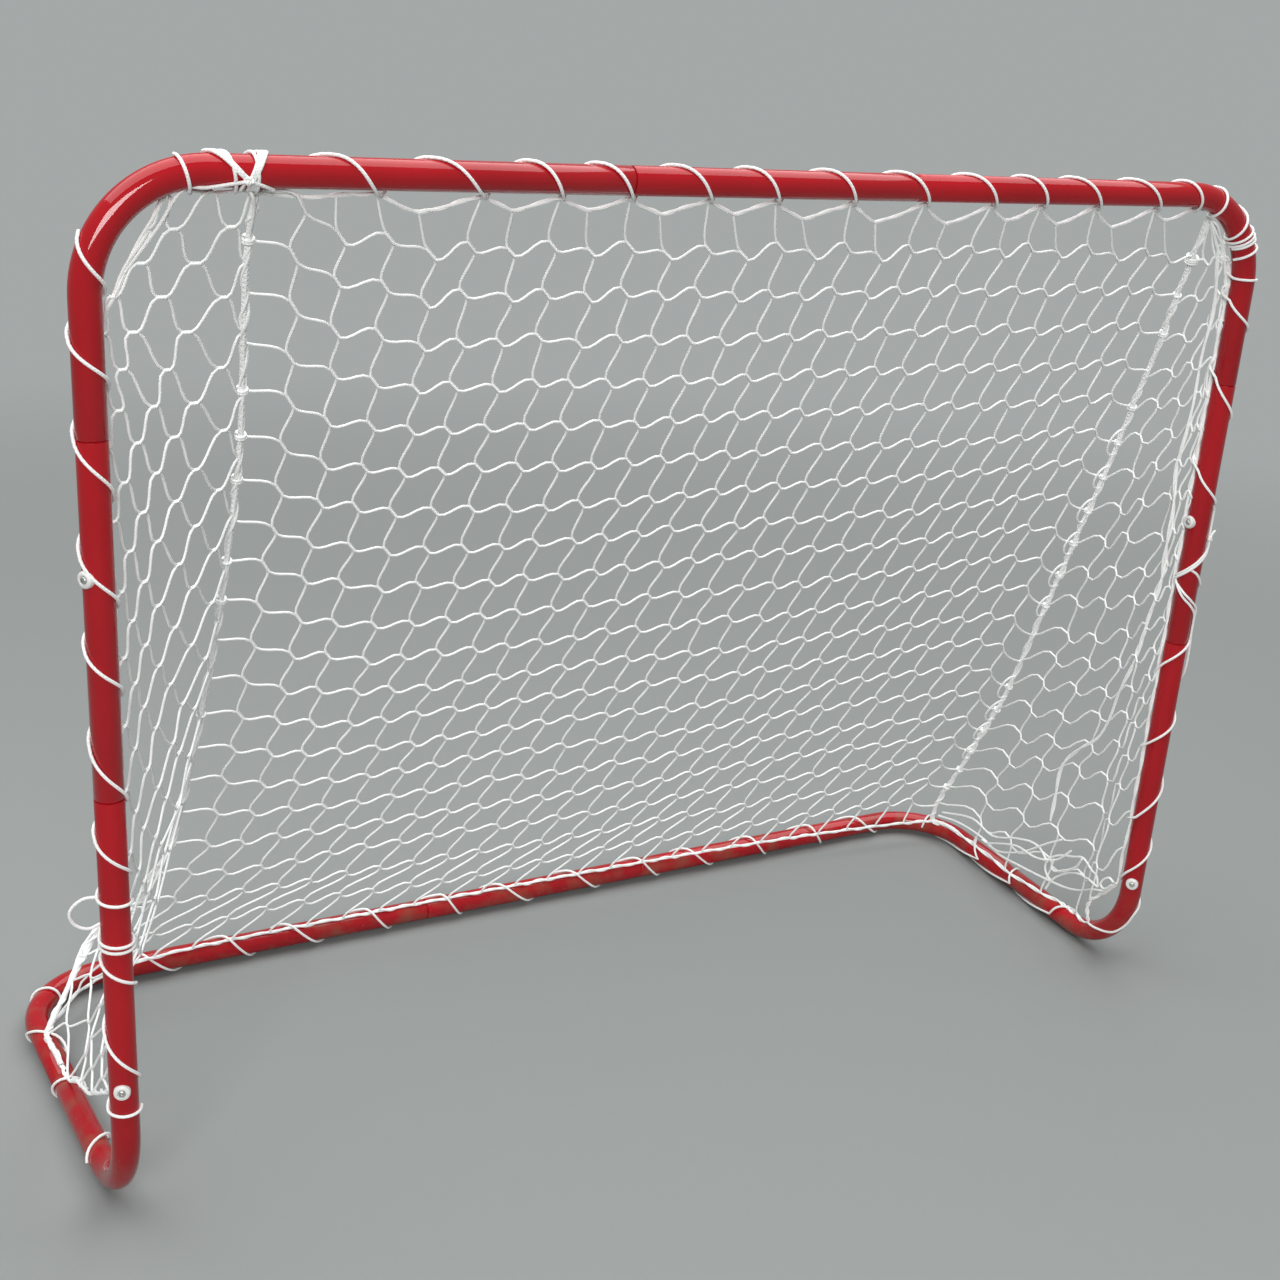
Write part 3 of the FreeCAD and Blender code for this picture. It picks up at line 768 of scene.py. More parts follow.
def rope_ties(name):
    """The hitches and curls of the rows along a rope."""
    ties = []
    for row in range(2, ROWS):
        place = rope_at(name, rope_drop(name, row))
        way = unit(rope_at(name, rope_drop(name, row) + 0.02) - place)
        if way.length > 0.5 and chance.random() < TIED_SHARE:
            ties.append(hitch(place, way, 0.0052, chance.choice((1.1, 1.5, 2.2)), 0.003))
            if name == "right" and row in CURLED_ROWS:
                ties.append(curl(place, way, chance.uniform(1.5, 2.2)))
    return ties


def make_ropes():
    for name, line in ropes.items():
        whole = smooth_line(line[::3] + [line[-1]] + ROPE_TAILS[name], 4)
        whole = [place for place, after in zip(whole, whole[1:]) if (after - place).length > 1e-5] + whole[-1:]
        keep("corner_rope_" + name + "_core", cord_mesh([whole], ROPE, 2), rope_cord, "white_rope",
             "corner_rope_" + name)
        winds = [wound_round(whole, *wind) for wind in ROPE_WINDS] + rope_ties(name)
        if name == "left":
            gathered = [place for place in line if BUNCH_FROM < place.z < BUNCH_TO]
            winds += [wound_round(gathered, *wind) for wind in BUNCH_WINDS]
        else:
            place = rope_at(name, TOP_COIL)
            winds.append(hitch(place, unit(rope_at(name, TOP_COIL + 0.022) - place), 0.0078, 3.6, 0.0030))
        keep("corner_rope_" + name + "_netting", cord_mesh(winds, NETTING), net_cord, "white_rope")
        print("rope on the", name, "with its tail:", round(length_of(whole), 3))


make_ropes()

# %% [markdown]
# ## Knotless netting
#
# In knotless net two families of cords cross. Where they meet they are twisted through each other for less than a
# centimetre before they part again, so a strand runs from meeting to meeting in a flat S: a trough after each one
# and a crest before the next. Each cord is drawn as one strand through all its meetings, which gives these shapes
# without any special pieces.

# %% One strand of net
JOINT_PARTS = 5
NET_CORD = 0.0033


def strand_through(meetings, softness, lean):
    """A soft strand through meetings, each of which is a pair of points that it enters and leaves by."""
    line = []
    for index, (enter, leave) in enumerate(meetings):
        line += [enter, leave]
        if index + 1 < len(meetings):
            next_enter, next_leave = meetings[index + 1]
            way = unit(next_enter - leave)
            reach = (next_enter - leave).length * softness
            first = leave + unit(unit(leave - enter) + way * lean) * reach
            last = next_enter - unit(unit(next_leave - next_enter) + way * lean) * reach
            line += interpolate_bezier(leave, first, last, next_enter, JOINT_PARTS + 1)[1:-1]
    return line


def jitter(amount):
    return Vector((chance.uniform(-amount, amount) for _ in range(3)))


# %% Strands of a panel
def meeting(grid, row, column, reach_across, reach_down):
    """The two ends of the short run where the cords lie side by side, and the way they are moved apart."""
    place = grid[row][column]
    across = unit(grid[row][min(column + 1, len(grid[0]) - 1)] - grid[row][max(column - 1, 0)])
    down = unit(grid[min(row + 1, len(grid) - 1)][column] - grid[max(row - 1, 0)][column])
    size = chance.uniform(0.8, 1.2)
    half = across * (reach_across * size) + down * (reach_down * size)
    side = unit(half.cross(OUT_OF_NET)) * (NET_CORD * 0.18) + OUT_OF_NET * (NET_CORD * 0.36)
    return place - half, place + half, side


def panel_strand(places, meetings, sign, softness, lean):
    """One cord of a panel, through its meetings and tied at both edges."""
    tie = unit(places[1] - places[0]) * 0.001
    spots = [(first + side * sign, last + side * sign) for first, last, side in meetings]
    for end in (0, -1):
        spots[end] = (places[end] - tie, places[end] + tie)
    return strand_through(spots, softness, lean)


def honeycomb(grid, reach_across, reach_down):
    """All strands of a panel: the rows, and the columns that meet them."""
    rows, columns = len(grid) - 1, len(grid[0]) - 1
    meetings = [[meeting(grid, row, column, reach_across, reach_down) for column in range(columns + 1)]
                for row in range(rows + 1)]
    strands = [panel_strand(grid[row], meetings[row], 1, softness=0.40, lean=0.8) for row in range(1, rows)]
    for column in range(1, columns):
        places, spots = ([line[column] for line in lines] for lines in (grid, meetings))
        strands.append(panel_strand(places, spots, -1, softness=0.26, lean=1.0))
    return strands


def keep_net(name, strands, node):
    keep(name, cord_mesh(strands, NET_CORD), net_cord, "net_cord", node, sharp=80)


# %% The back net
BORDER_CORD = 0.0038
TOP_BORDER_END = 0.688
TOP_BORDER_PARTS = 240


def back_grid():
    grid = []
    for row in range(ROWS + 1):
        line = []
        for column in range(COLUMNS + 1):
            place = back_point(column, row)
            if 0 < column < COLUMNS and 0 < row < ROWS:
                place += jitter(0.0026) + OUT_OF_NET * (0.003 * math.sin(column * 0.55 + row * 0.4))
            line.append(place)
        grid.append(line)
    return grid


def border_lines():
    """The doubled cords of the net's top and low borders."""
    first = WRAP_FEET[0]
    places = [first + (TOP_BORDER_END - first) * step / TOP_BORDER_PARTS for step in range(TOP_BORDER_PARTS + 1)]
    top = [on_fall(x, hang_at(x)) for x in places]
    low = smooth_line(back[-1], 2)
    return [top, wound_round(top, 0.0013, 30, 0.0), low, wound_round(low, 0.0016, 34, 0.0)]


back = back_grid()
keep_net("net_back_strands", honeycomb(back, reach_across=0.0048, reach_down=0.0055), "net_back")
keep("net_back_borders", cord_mesh(border_lines(), BORDER_CORD), net_cord, "net_cord")

# %% [markdown]
# ## The side nets
#
# Each side net hangs between a post and a rope and twists on its way, because the post lies in the front plane and
# the base runs back. On the left it hangs in diamonds, and on the right its rows run on from the back net. Both
# have few meshes at the top, where the rope is close to the post, and gain more from the front edge lower down.

# %% A side panel's edges
POST_BORDER = 0.0185


def by_length(line, share):
    """A point at a share of a line's length."""
    lengths = [0.0]
    for first, second in zip(line, line[1:]):
        lengths.append(lengths[-1] + (second - first).length)
    wanted = share * lengths[-1]
    for index in range(len(line) - 1):
        if wanted <= lengths[index + 1]:
            part = (wanted - lengths[index]) / (lengths[index + 1] - lengths[index])
            return line[index].lerp(line[index + 1], part)
    return line[-1].copy()


def edge_lines(name, side):
    """The front edge of a side net, down along the post, and its low edge, from the rope along the base."""
    way, foot = base_way(side), foot_corner(side)

    def by_post(z):
        return Vector((side * FRONT_HALF, FRONT_Y, z)) + unit((-side, 1, 0)) * POST_BORDER

    if name == "left":
        front = [near_bar(-0.684, 0.006, 0.022), near_bar(-0.716, 0.010, 0.080), by_post(TOP_Z - 0.150),
                 by_post(0.43), Vector((-0.7605, FRONT_Y + 0.0192, 0.35)), Vector((-0.776, FRONT_Y + 0.0198, 0.183))]
        low = [foot + way * 0.273 + UP * 0.0185, Vector((-0.7822, -0.0770, 0.0850)),
               Vector((-0.7850, -0.1750, 0.1330))]
    else:
        front = [near_bar(0.694, 0.010, 0.034), near_bar(0.722, 0.010, 0.062), by_post(TOP_Z - 0.120),
                 by_post(0.30), Vector((0.7545, FRONT_Y + 0.0202, 0.1456))]
        inward = Vector((-way.y, way.x, 0))
        low = [foot + way * reach + UP * 0.0150 + inward * 0.0125 for reach in (0.33, 0.23)]
        low += [foot + way * 0.150 + UP * 0.0180, foot + way * 0.120 + UP * 0.0185,
                Vector((0.7584, -0.2015, 0.0490)), Vector((0.7550, -0.1995, 0.0784)),
                Vector((0.7550, -0.2085, 0.0961)), Vector((0.7550, -0.2308, 0.1182))]
    return front, smooth_line([ropes[name][-1]] + ROPE_TAILS[name] + low + [front[-1]], 6)


edges = {"left": edge_lines("left", -1), "right": edge_lines("right", 1)}
print("edges at the posts:", {name: round(length_of(front), 3) for name, (front, low) in edges.items()})

# %% Points of a side net
LEVELS = {
    "left": ((0.0, (0.0, 0.0)), (0.80, (0.80, 0.90)), (0.87, (0.934, 0.935)), (1.0, (1.0, 1.0))),
    "right": ((0.0, (0.0, 0.0)), (0.35, (0.36, 0.335)), (0.594, (0.626, 0.575)), (0.82, (0.855, 0.765)),
              (0.91, (0.933, 0.875)), (1.0, (1.0, 1.0))),
}


def stop_at(stops, column, down):
    """One column of a table of stops, at a height between those that it gives."""
    for (high, first), (low, last) in zip(stops, stops[1:]):
        if down <= low:
            return first[column] + (last[column] - first[column]) * (down - high) / (low - high)
    return stops[-1][1][column]


def side_point(name, across, down):
    """A point of a side net: across runs from the rope (0) to the post (1), down from the top (0) to the base (1)."""
    front, low = edges[name]
    rope_low, rope_top = ropes[name][-1], ropes[name][0]
    level = rope_top.z + (rope_low.z - rope_top.z) * stop_at(LEVELS[name], 0, down)
    rope = rope_at(name, (TOP_Z - level) / -FALL.z)
    place = rope.lerp(by_length(front, stop_at(LEVELS[name], 1, down)), across)
    low_lift = by_length(low, across) - rope_low.lerp(front[-1], across)
    return place + low_lift * down ** 3


# %% The places of the diamonds on the left
LEFT_STOPS = (
    (0.0, (0.0, 0.20, 0.52, 0.80, 1.0, 1.0, 1.0, 1.0, 1.0)),
    (0.1, (0.0, 0.17, 0.44, 0.66, 0.85, 1.0, 1.0, 1.0, 1.0)),
    (0.2, (0.0, 0.15, 0.37, 0.51, 0.66, 0.78, 0.90, 1.0, 1.0)),
    (0.35, (0.0, 0.145, 0.34, 0.48, 0.62, 0.74, 0.84, 0.93, 1.0)),
    (1.0, (0.0, 0.14, 0.28, 0.42, 0.56, 0.69, 0.81, 0.91, 1.0)),
)
LEFT_LAST = len(LEFT_STOPS[0][1]) - 1
LEFT_LEVELS = 15 * 2
AT_POST = 0.999


def left_place(column, level):
    share = level / LEFT_LEVELS
    return side_point("left", stop_at(LEFT_STOPS, column, share), share)


def diamond_spots():
    """The meetings of the left net, each as its end towards the post and its end towards the rope."""
    spots = {}
    for column in range(LEFT_LAST + 1):
        for level in range(column % 2, LEFT_LEVELS + 1, 2):
            if column and stop_at(LEFT_STOPS, column - 1, level / LEFT_LEVELS) > AT_POST:
                continue
            place, before = left_place(column, level), left_place(max(column - 1, 0), level)
            inner = 0 < column < LEFT_LAST and 0 < level < LEFT_LEVELS
            room = min((place - before).length, 0.05) if inner else 0.0
            point = place + jitter(room * 0.08)
            level_way = unit(before - left_place(min(column + 1, LEFT_LAST), level))
            size = min(0.0042, 0.001 + room * 0.12) * chance.uniform(0.8, 1.25)
            spots[column, level] = (point - level_way * size, point + level_way * size)
    return spots


# %% Diamonds on the left
def make_diamonds():
    """Strands of the left net: two slanting families that meet in short level runs."""
    spots = diamond_spots()
    strands = []
    for slant in (1, -1):
        drift = OUT_OF_NET * (NET_CORD * 0.3 * slant)
        for column in range(LEFT_LAST + 1):
            for level in range(column % 2, LEFT_LEVELS + 1, 2):
                if (column - slant, level - 1) in spots:
                    continue
                chain = []
                spot = (column, level)
                while spot in spots:
                    ends = [end + drift for end in spots[spot]]
                    chain.append(ends[::-1] if slant > 0 else ends)
                    spot = (spot[0] + slant, spot[1] + 1)
                if len(chain) > 1:
                    strands.append(strand_through(chain, softness=0.30, lean=0.5))
    return strands


keep_net("net_left_strands", make_diamonds(), "net_left")

# %% Rows on the right
RIGHT_STOPS = (
    (0.0, (0.0, 0.50, 1.0, 1.0, 1.0, 1.0, 1.0)),
    (0.2, (0.0, 0.36, 0.70, 1.0, 1.0, 1.0, 1.0)),
    (0.5, (0.0, 0.26, 0.50, 0.72, 0.90, 1.0, 1.0)),
    (1.0, (0.0, 0.20, 0.38, 0.55, 0.71, 0.86, 1.0)),
)
RIGHT_LAST = len(RIGHT_STOPS[0][1]) - 1


def right_grid():
    grid = []
    for row in range(ROWS + 1):
        down = ROW_DROPS[row] / ROW_DROPS[-1]
        line = []
        for column in range(RIGHT_LAST + 1):
            place = side_point("right", stop_at(RIGHT_STOPS, column, down), down)
            if 0 < column < RIGHT_LAST and 0 < row < ROWS:
                place += jitter(min((place - line[-1]).length * 0.12, 0.005))
            line.append(place)
        grid.append(line)
    return grid


keep_net("net_right_strands", honeycomb(right_grid(), reach_across=0.0036, reach_down=0.0058), "net_right")

# %% [markdown]
# ## Borders and loose cords of the side nets
#
# A pair of cords wound lightly round each other is the border of a side net. The right net is wider than its place,
# so it is folded along a seam, and below the fold slack cord lies in loops on the base. Each of those lines is given
# by places of the side net: how far across, and how far down.

# %% Loose cords on the right
SEAM = [(0.90, 0.05), (0.843, 0.139), (0.842, 0.221), (0.839, 0.310), (0.828, 0.362), (0.888, 0.436), (0.900, 0.495),
        (0.901, 0.539), (0.868, 0.578), (0.837, 0.626), (0.754, 0.672), (0.666, 0.754), (0.581, 0.786), (0.523, 0.812),
        (0.529, 0.860), (0.538, 0.898)]
LOOPS = [
    [(1.0, 1.0), (0.950, 1.0), (0.878, 0.989), (0.716, 0.969), (0.641, 0.977), (0.591, 0.977), (0.563, 0.967),
     (0.563, 0.953), (0.602, 0.941), (0.665, 0.934), (0.717, 0.929), (0.800, 0.945), (0.882, 0.972), (0.903, 0.989)],
    [(0.903, 0.989), (0.850, 0.972), (0.764, 0.949), (0.704, 0.950), (0.646, 0.959), (0.598, 0.974), (0.576, 0.990)],
    [(0.996, 0.998), (0.958, 0.985), (0.919, 0.986), (0.942, 0.996), (0.986, 0.999)],
    [(0.722, 0.929), (0.698, 0.942), (0.636, 0.956), (0.596, 0.960), (0.597, 0.946)],
    [(0.024, 0.984), (0.115, 0.978), (0.256, 0.976), (0.343, 0.983), (0.449, 0.979), (0.559, 0.978), (0.641, 0.977)],
    [(0.038, 0.974), (0.180, 0.954), (0.300, 0.961), (0.422, 0.942), (0.516, 0.938), (0.569, 0.955)],
    [(0.257, 0.977), (0.341, 0.978), (0.414, 0.966), (0.479, 0.951), (0.554, 0.930), (0.609, 0.918)],
    [(0.284, 0.977), (0.429, 0.952), (0.526, 0.954), (0.605, 0.946), (0.661, 0.926)],
]
SIDE_CORD = 0.0036


def loose_line(places, inward):
    return smooth_line([side_point("right", *place) - ACROSS * inward for place in places], 5)


def loose_cords():
    """The seam where the right net is folded, and the slack cord that lies in loops low down."""
    seam = loose_line(SEAM, 0.003)
    return [wound_round(seam, 0.0016, 9, 0.0), wound_round(seam, 0.0020, 7, 2.6)] + [
        loose_line(loop, 0.004 + 0.0015 * (index % 4)) for index, loop in enumerate(LOOPS)]


def make_side_borders():
    for name, (front, low) in edges.items():
        front = smooth_line([by_length(front, step / 30) for step in range(31)], 4)
        winds = [wound_round(line, radius, turns, start)
                 for line, radius, turns in ((front, 0.0015, 11), (low, 0.0018, 12)) for start in (0.0, math.pi)]
        if name == "right":
            winds += loose_cords()
        keep("net_" + name + "_border", cord_mesh(winds, SIDE_CORD), net_cord, "net_cord")


make_side_borders()

# %% [markdown]
# ## The lacing
#
# One long cord winds round each run of tube and takes in the net's border on its way. It is pulled tight, so it
# lies close on the tube in front and crosses it at the slant that the hand gave it, never twice the same. Each
# turn is drawn from where it passes over the front to where it comes round again. The ring of the tube that it
# lies on is found along the frame, so the turns follow the bends too.

# %% Rings along the tubes
BEND_START = FRONT_HALF - BEND
BEND_END = BEND_START + BEND * math.pi / 2


def front_ring(side, station):
    """The tube's axis and its outward way, this far from the crossbar's middle along the front frame."""
    if station <= BEND_START:
        return near_bar(side * station, 0, 0), UP
    if station <= BEND_END:
        angle = (station - BEND_START) / BEND
        outward = Vector((side * math.sin(angle), 0, math.cos(angle)))
        return near_bar(side * BEND_START, 0, BEND) + outward * BEND, outward
    return near_bar(side * FRONT_HALF, 0, BEND + station - BEND_END), ACROSS * side


def bar_ring(x):
    return front_ring(-1 if x < 0 else 1, abs(x))


def post_ring(side, z):
    """The ring of a post at a height, also where the post has begun to bend."""
    rise = z - (TOP_Z - BEND)
    if rise <= 0:
        return front_ring(side, BEND_END - rise)
    return front_ring(side, BEND_START + BEND * math.acos(min(rise / BEND, 1)))


# %% Winding a cord round a tube
LACE = 0.0036
CLOSE = TUBE + LACE / 2 + 0.0002
HALF_TURN_PARTS = 12


def winding(ring_at, way_sign, front_way, turns, net_way, reach=0.0, early=1.0, hurry=1.0):
    """A cord round a tube, which stands off by the reach where it takes in the net.

    Early bends its slant on the front side, and hurry lets it get on to its next turn sooner behind the tube."""

    def at(place, angle):
        centre, outward = ring_at(place)
        way = outward * (way_sign * math.cos(angle)) + front_way * math.sin(angle)
        return centre + way * (CLOSE + reach * max(way.dot(net_way), 0) ** 6)

    shares = [part / HALF_TURN_PARTS for part in range(HALF_TURN_PARTS)]
    line = []
    for (start, end), (following, _) in zip(turns, turns[1:] + [(None, None)]):
        line += [at(start + (end - start) * share ** early, math.pi * share) for share in shares]
        if following is not None:
            line += [at(end + (following - end) * min(share * hurry, 1), math.pi * (1 + share)) for share in shares]
    return line + [at(end, math.pi)]


def keep_lacing(node, strands):
    """Cords that stand for a node of lacing."""
    keep(node + "_cord", cord_mesh(strands, LACE, 2), lacing_cord, "lacing_cord", node)
    print(node, "length:", round(sum(length_of(strand) for strand in strands), 2))


# %% Turns on the crossbar and posts
# each turn: where it begins on the front side and where it leaves it, as X on the bar and as height on a post
BAR_TURNS = [(-0.673, -0.668), (-0.632, -0.620), (-0.604, -0.600), (-0.527, -0.475), (-0.422, -0.360),
             (-0.313, -0.270), (-0.234, -0.186), (-0.140, -0.087), (-0.047, 0.001), (0.058, 0.106), (0.161, 0.213),
             (0.261, 0.316), (0.350, 0.394), (0.427, 0.485), (0.527, 0.588), (0.620, 0.655), (0.684, 0.692),
             (0.726, 0.752), (0.756, 0.760), (0.764, 0.766), (0.770, 0.770)]
LEFT_TURNS = [(1.119, 1.075), (1.029, 0.983), (0.934, 0.873), (0.818, 0.760), (0.718, 0.666), (0.611, 0.543),
              (0.508, 0.457), (0.432, 0.425), (0.381, 0.376), (0.374, 0.370), (0.359, 0.322), (0.268, 0.201),
              (0.166, 0.164)]
RIGHT_UPPER_TURNS = [(1.107, 1.115), (1.078, 1.073), (1.046, 0.998), (0.940, 0.870), (0.806, 0.748)]
RIGHT_LOWER_TURNS = [(0.574, 0.521), (0.4455, 0.394), (0.340, 0.270), (0.235, 0.175)]
TURNS_LIFT = BASE_Z - TUBE


def post_line(side, way_sign, turns):
    """The lacing of a post. Its turns' heights are counted from the undersides of the base tubes."""
    lifted = [(start + TURNS_LIFT, end + TURNS_LIFT) for start, end in turns]
    return winding(lambda z: post_ring(side, z), way_sign, FORWARD, lifted, unit((-side, 1, 0)), reach=0.0050,
                   early=0.8)


bar_line = winding(bar_ring, 1, FORWARD, BAR_TURNS, FALL, reach=0.0040, early=0.72)
print("turns on the crossbar:", len(BAR_TURNS), "and on the left post:", len(LEFT_TURNS))

# %% [markdown]
# ## The tie on the crossbar
#
# Over the left rope two bights of cord come down in front of the bar and are knotted there, and their ends go to
# the border on both sides and to the rope. At the right bend a smaller knot ties the border to the other rope.

# %% Tie strands on the crossbar
KNOT_X = -0.611


def on_bar(x, turn, lift=0.0):
    """A point on the crossbar's skin: turn runs from the top (0) over the front (0.5) to the underside (1)."""
    close = CLOSE + 0.0001 + lift
    return near_bar(x, -close * math.sin(math.pi * turn), -close * math.cos(math.pi * turn))


def tie_leg(top, low, spread):
    """One leg of the tie: from behind the bar over its top down to the knot, and on under the bar to the rope."""
    legs = [on_bar(top - 0.004, -0.9 + 0.1 * step) for step in range(9)]
    legs += [on_bar(top + (low - top) * (step / 8) ** 1.2, 0.61 * step / 8) for step in range(9)]
    return smooth_line(legs + [on_bar(low + spread, 0.76), on_bar(low + spread * 1.6, 0.92)], 2)


def tie_strands():
    knot = on_bar(KNOT_X, 0.63, 0.0022)
    corner_knot = near_bar(0.7255, 0.012, 0.064)
    legs = [(-0.033, -0.0035, -0.001), (-0.029, -0.0005, 0.002)]
    legs += [(0.015 + 0.0036 * step, 0.002 + 0.0018 * step, 0.001 * step) for step in range(3)]
    ends = [[knot, on_bar(-0.628, 0.72), on_bar(-0.650, 0.83), on_bar(-0.670, 0.94), near_bar(-0.691, 0.006, 0.052),
             by_length(edges["left"][0], 0.085)],
            [on_bar(KNOT_X + 0.004, 0.95), near_bar(-0.604, -0.004, 0.024), near_bar(-0.600, 0.006, 0.036),
             rope_at("left", 0.075)],
            [corner_knot, near_bar(0.712, 0.006, 0.052), near_bar(0.700, 0.004, 0.038), rope_at("right", 0.034)]]
    return ([tie_leg(KNOT_X + top, KNOT_X + low, spread) for top, low, spread in legs]
            + [smooth_line(end, 5) for end in ends]
            + [smooth_line([knot, on_bar(-0.598, 0.72, 0.0005), on_bar(-0.584, 0.88)], 4),
               overhand(knot, 0.0066, 0.4), overhand(corner_knot, 0.008, 1.1)])


keep_lacing("crossbar_lacing", [bar_line] + tie_strands())

# %% The left post, with its slack loop
LOOP_ON_LEFT = [(-0.779, 0.004, 0.438), (-0.796, 0.006, 0.437), (-0.809, 0.008, 0.424), (-0.806, 0.008, 0.409),
                (-0.792, 0.006, 0.401), (-0.778, 0.006, 0.405)]
slack = smooth_line([Vector((x, FRONT_Y + behind, z)) for x, behind, z in LOOP_ON_LEFT], 6)
keep_lacing("left_post_lacing", [post_line(-1, 1, LEFT_TURNS), slack])

# %% [markdown]
# ## The tie on the right post
#
# Half-way down the right post the upper cord ends in a thick hitch, and the lower one starts from it and winds the
# other way, round the post and under the foot's bend. Each strand of the hitch is given by a few points on the
# tube's skin: the height, how far round it is, and how far it stands off.

# %% Strands on the skin of a post and of a foot
UPPER_END = ((0.7635, 70), (0.757, 54), (0.746, 46), (0.735, 44), (0.724, 45), (0.714, 50))
HITCH = ((0.717, 42, 0.002), (0.697, 60, 0.0005), (0.682, 108), (0.670, 147), (0.658, 195), (0.653, 222))
HITCH_STRANDS = (
    HITCH,
    tuple((z - 0.0042, turn, 0.0006) for z, turn, *_ in HITCH),
    ((0.717, 42, 0.002), (0.722, 34, 0.005), (0.7235, 22, 0.009)),
    ((0.670, 138), (0.662, 99), (0.646, 51), (0.638, 25)),
    ((0.655, 218), (0.648, 204), (0.636, 171), (0.626, 144), (0.615, 105), (0.601, 66), (0.586, 52), (0.572, 48),
     (0.561, 50)),
    ((0.646, 200, 0.0005), (0.633, 144, 0.0005), (0.624, 111), (0.609, 55), (0.596, 43), (0.582, 40), (0.570, 42)),
    ((0.572, 41), (0.550, 38, 0.0015), (0.525, 37, 0.0020), (0.505, 32, 0.001), (0.495, 15)),
)
POST_END = ((0.175, 180), (0.161, 222), (0.152, 262), (0.146, 300))
FOOT_END = ((1, 120), (6, 85), (11, 45), (16, 10), (26, -8), (36.5, -39), (49, -102), (62.5, -144))


def on_post(z, turn, lift=0.0):
    """A point on the right post's skin. The turn is in degrees, from the outer side (0) over the front (90)."""
    angle = math.radians(turn)
    way = ACROSS * math.cos(angle) + FORWARD * math.sin(angle)
    return Vector((FRONT_HALF, FRONT_Y, z)) + way * (CLOSE + lift)


def on_foot(along, turn):
    """A point on the right foot's bend: degrees along the bend, then degrees round it from the front outwards."""
    way, share, angle = base_way(1), math.radians(along), math.radians(turn)
    outward = way * -math.cos(share) - UP * math.sin(share)
    centre = foot_corner(1) + (way + UP + outward) * BEND
    return centre + (outward * math.cos(angle) + way.cross(UP) * math.sin(angle)) * CLOSE


def post_strand(places):
    return smooth_line([on_post(*place) for place in places], 5)


# %% Lacing on the right post
keep_lacing("right_post_upper_lacing", [post_line(1, -1, RIGHT_UPPER_TURNS), post_strand(UPPER_END)])
lower = winding(lambda z: post_ring(1, z), 1, FORWARD, RIGHT_LOWER_TURNS, unit((-1, 1, 0)), reach=0.0050)
foot_wrap = smooth_line([on_post(*place) for place in POST_END] + [on_foot(*place) for place in FOOT_END], 5)
keep_lacing("right_post_lower_lacing", [lower] + [post_strand(places) for places in HITCH_STRANDS]
            + [foot_wrap, overhand(on_post(0.714, 50, 0.0015), 0.0062, 0.9)])

# %% [markdown]
# ## Lacing on the base
#
# Grass hides most of this lacing, so only some turns could be measured and the rest are spaced like them. On the
# sides, each turn passes quickly under the tube, so that little of it shows from outside.

# %% Turns on the base
BACK_TURNS = [(-0.640 + 0.116 * step + 0.012 * math.sin(step * 2.1), -0.585 + 0.116 * step + 0.010 * math.cos(step))
              for step in range(12)]
SIDE_TURNS = [(0.118, 0.152), (0.286, 0.262), (0.425, 0.355), (0.498, 0.514)]
print("turns on the back tube:", len(BACK_TURNS), "and on each side:", len(SIDE_TURNS))


def base_ring(side, station):
    """The axis of the base tube and its outward way, this far from the post along the side and round the corner."""
    way = base_way(side)
    outward = way.cross(UP) * side
    turn = way.angle(Vector((-side, 0, 0)))
    corner = Vector((side * BACK_HALF, BACK_Y, BASE_Z))
    bend_start = corner - way * (CORNER_BEND * math.tan(turn / 2))
    straight = (bend_start - foot_corner(side)).length
    if station <= straight:
        return foot_corner(side) + way * station, outward
    centre = bend_start - outward * CORNER_BEND
    angle = (station - straight) / CORNER_BEND
    outward = outward * math.cos(angle) + way * math.sin(angle)
    return centre + outward * CORNER_BEND, outward


# %% Lacing on the base
def lace_base():
    line = winding(lambda x: (Vector((x, BACK_Y, BASE_Z)), UP), 1, FORWARD, BACK_TURNS, FALL * -1, reach=0.0045)
    keep_lacing("base_back_lacing", [line])
    for name, side in (("left", -1), ("right", 1)):
        line = winding(lambda station: base_ring(side, station), 1, UP, SIDE_TURNS, unit((-side, 0, 1)),
                       reach=0.0030, hurry=1.8)
        keep_lacing("base_" + name + "_lacing", [line])


lace_base()

# %% [markdown]
# ## Floor, light and camera
#
# A plain floor that curves up into a round wall keeps the eye on the goal from every side, and it is a pale grey,
# so that the white net stands out against it. A wide soft lamp overhead stands for the open sky: it gives the tubes
# the broad pale shine along their upper half. A smaller one in front lights the net. The camera stands where the
# photographer stood: low in front and to the left, and tipped a little to one side.

# %% Floor and wall
FLOOR_GREY = (0.27, 0.285, 0.28)
FAR_GREY = (0.375, 0.395, 0.392)
FLOOR_REACH = 10.0
WALL_BEND = 5.0
WALL_STEPS = 12
WALL_TOP = 16.0


def make_ground():
    """A matt floor. Far from the goal, where the lamps don't reach, it shows its own even grey to the camera."""
    ground = Finish("pale_floor", FLOOR_GREY, 0.85)
    distance = ground.add("ShaderNodeVectorMath", [("operation", "LENGTH")], Vector=ground.place()).outputs["Value"]
    far = ground.add("ShaderNodeMapRange", [("interpolation_type", "SMOOTHSTEP")], Value=distance, From_Min=1.0,
                     From_Max=5.0).outputs["Result"]
    path = ground.add("ShaderNodeLightPath").outputs
    seen = ground.math("MAXIMUM", path["Is Camera Ray"], path["Is Glossy Ray"])
    ground.feed(Base_Color=ground.mix(far, FLOOR_GREY, (0.0, 0.0, 0.0)), Specular_IOR_Level=0.0,
                Emission_Color=FAR_GREY, Emission_Strength=ground.math("MULTIPLY", far, seen))
    return ground.material


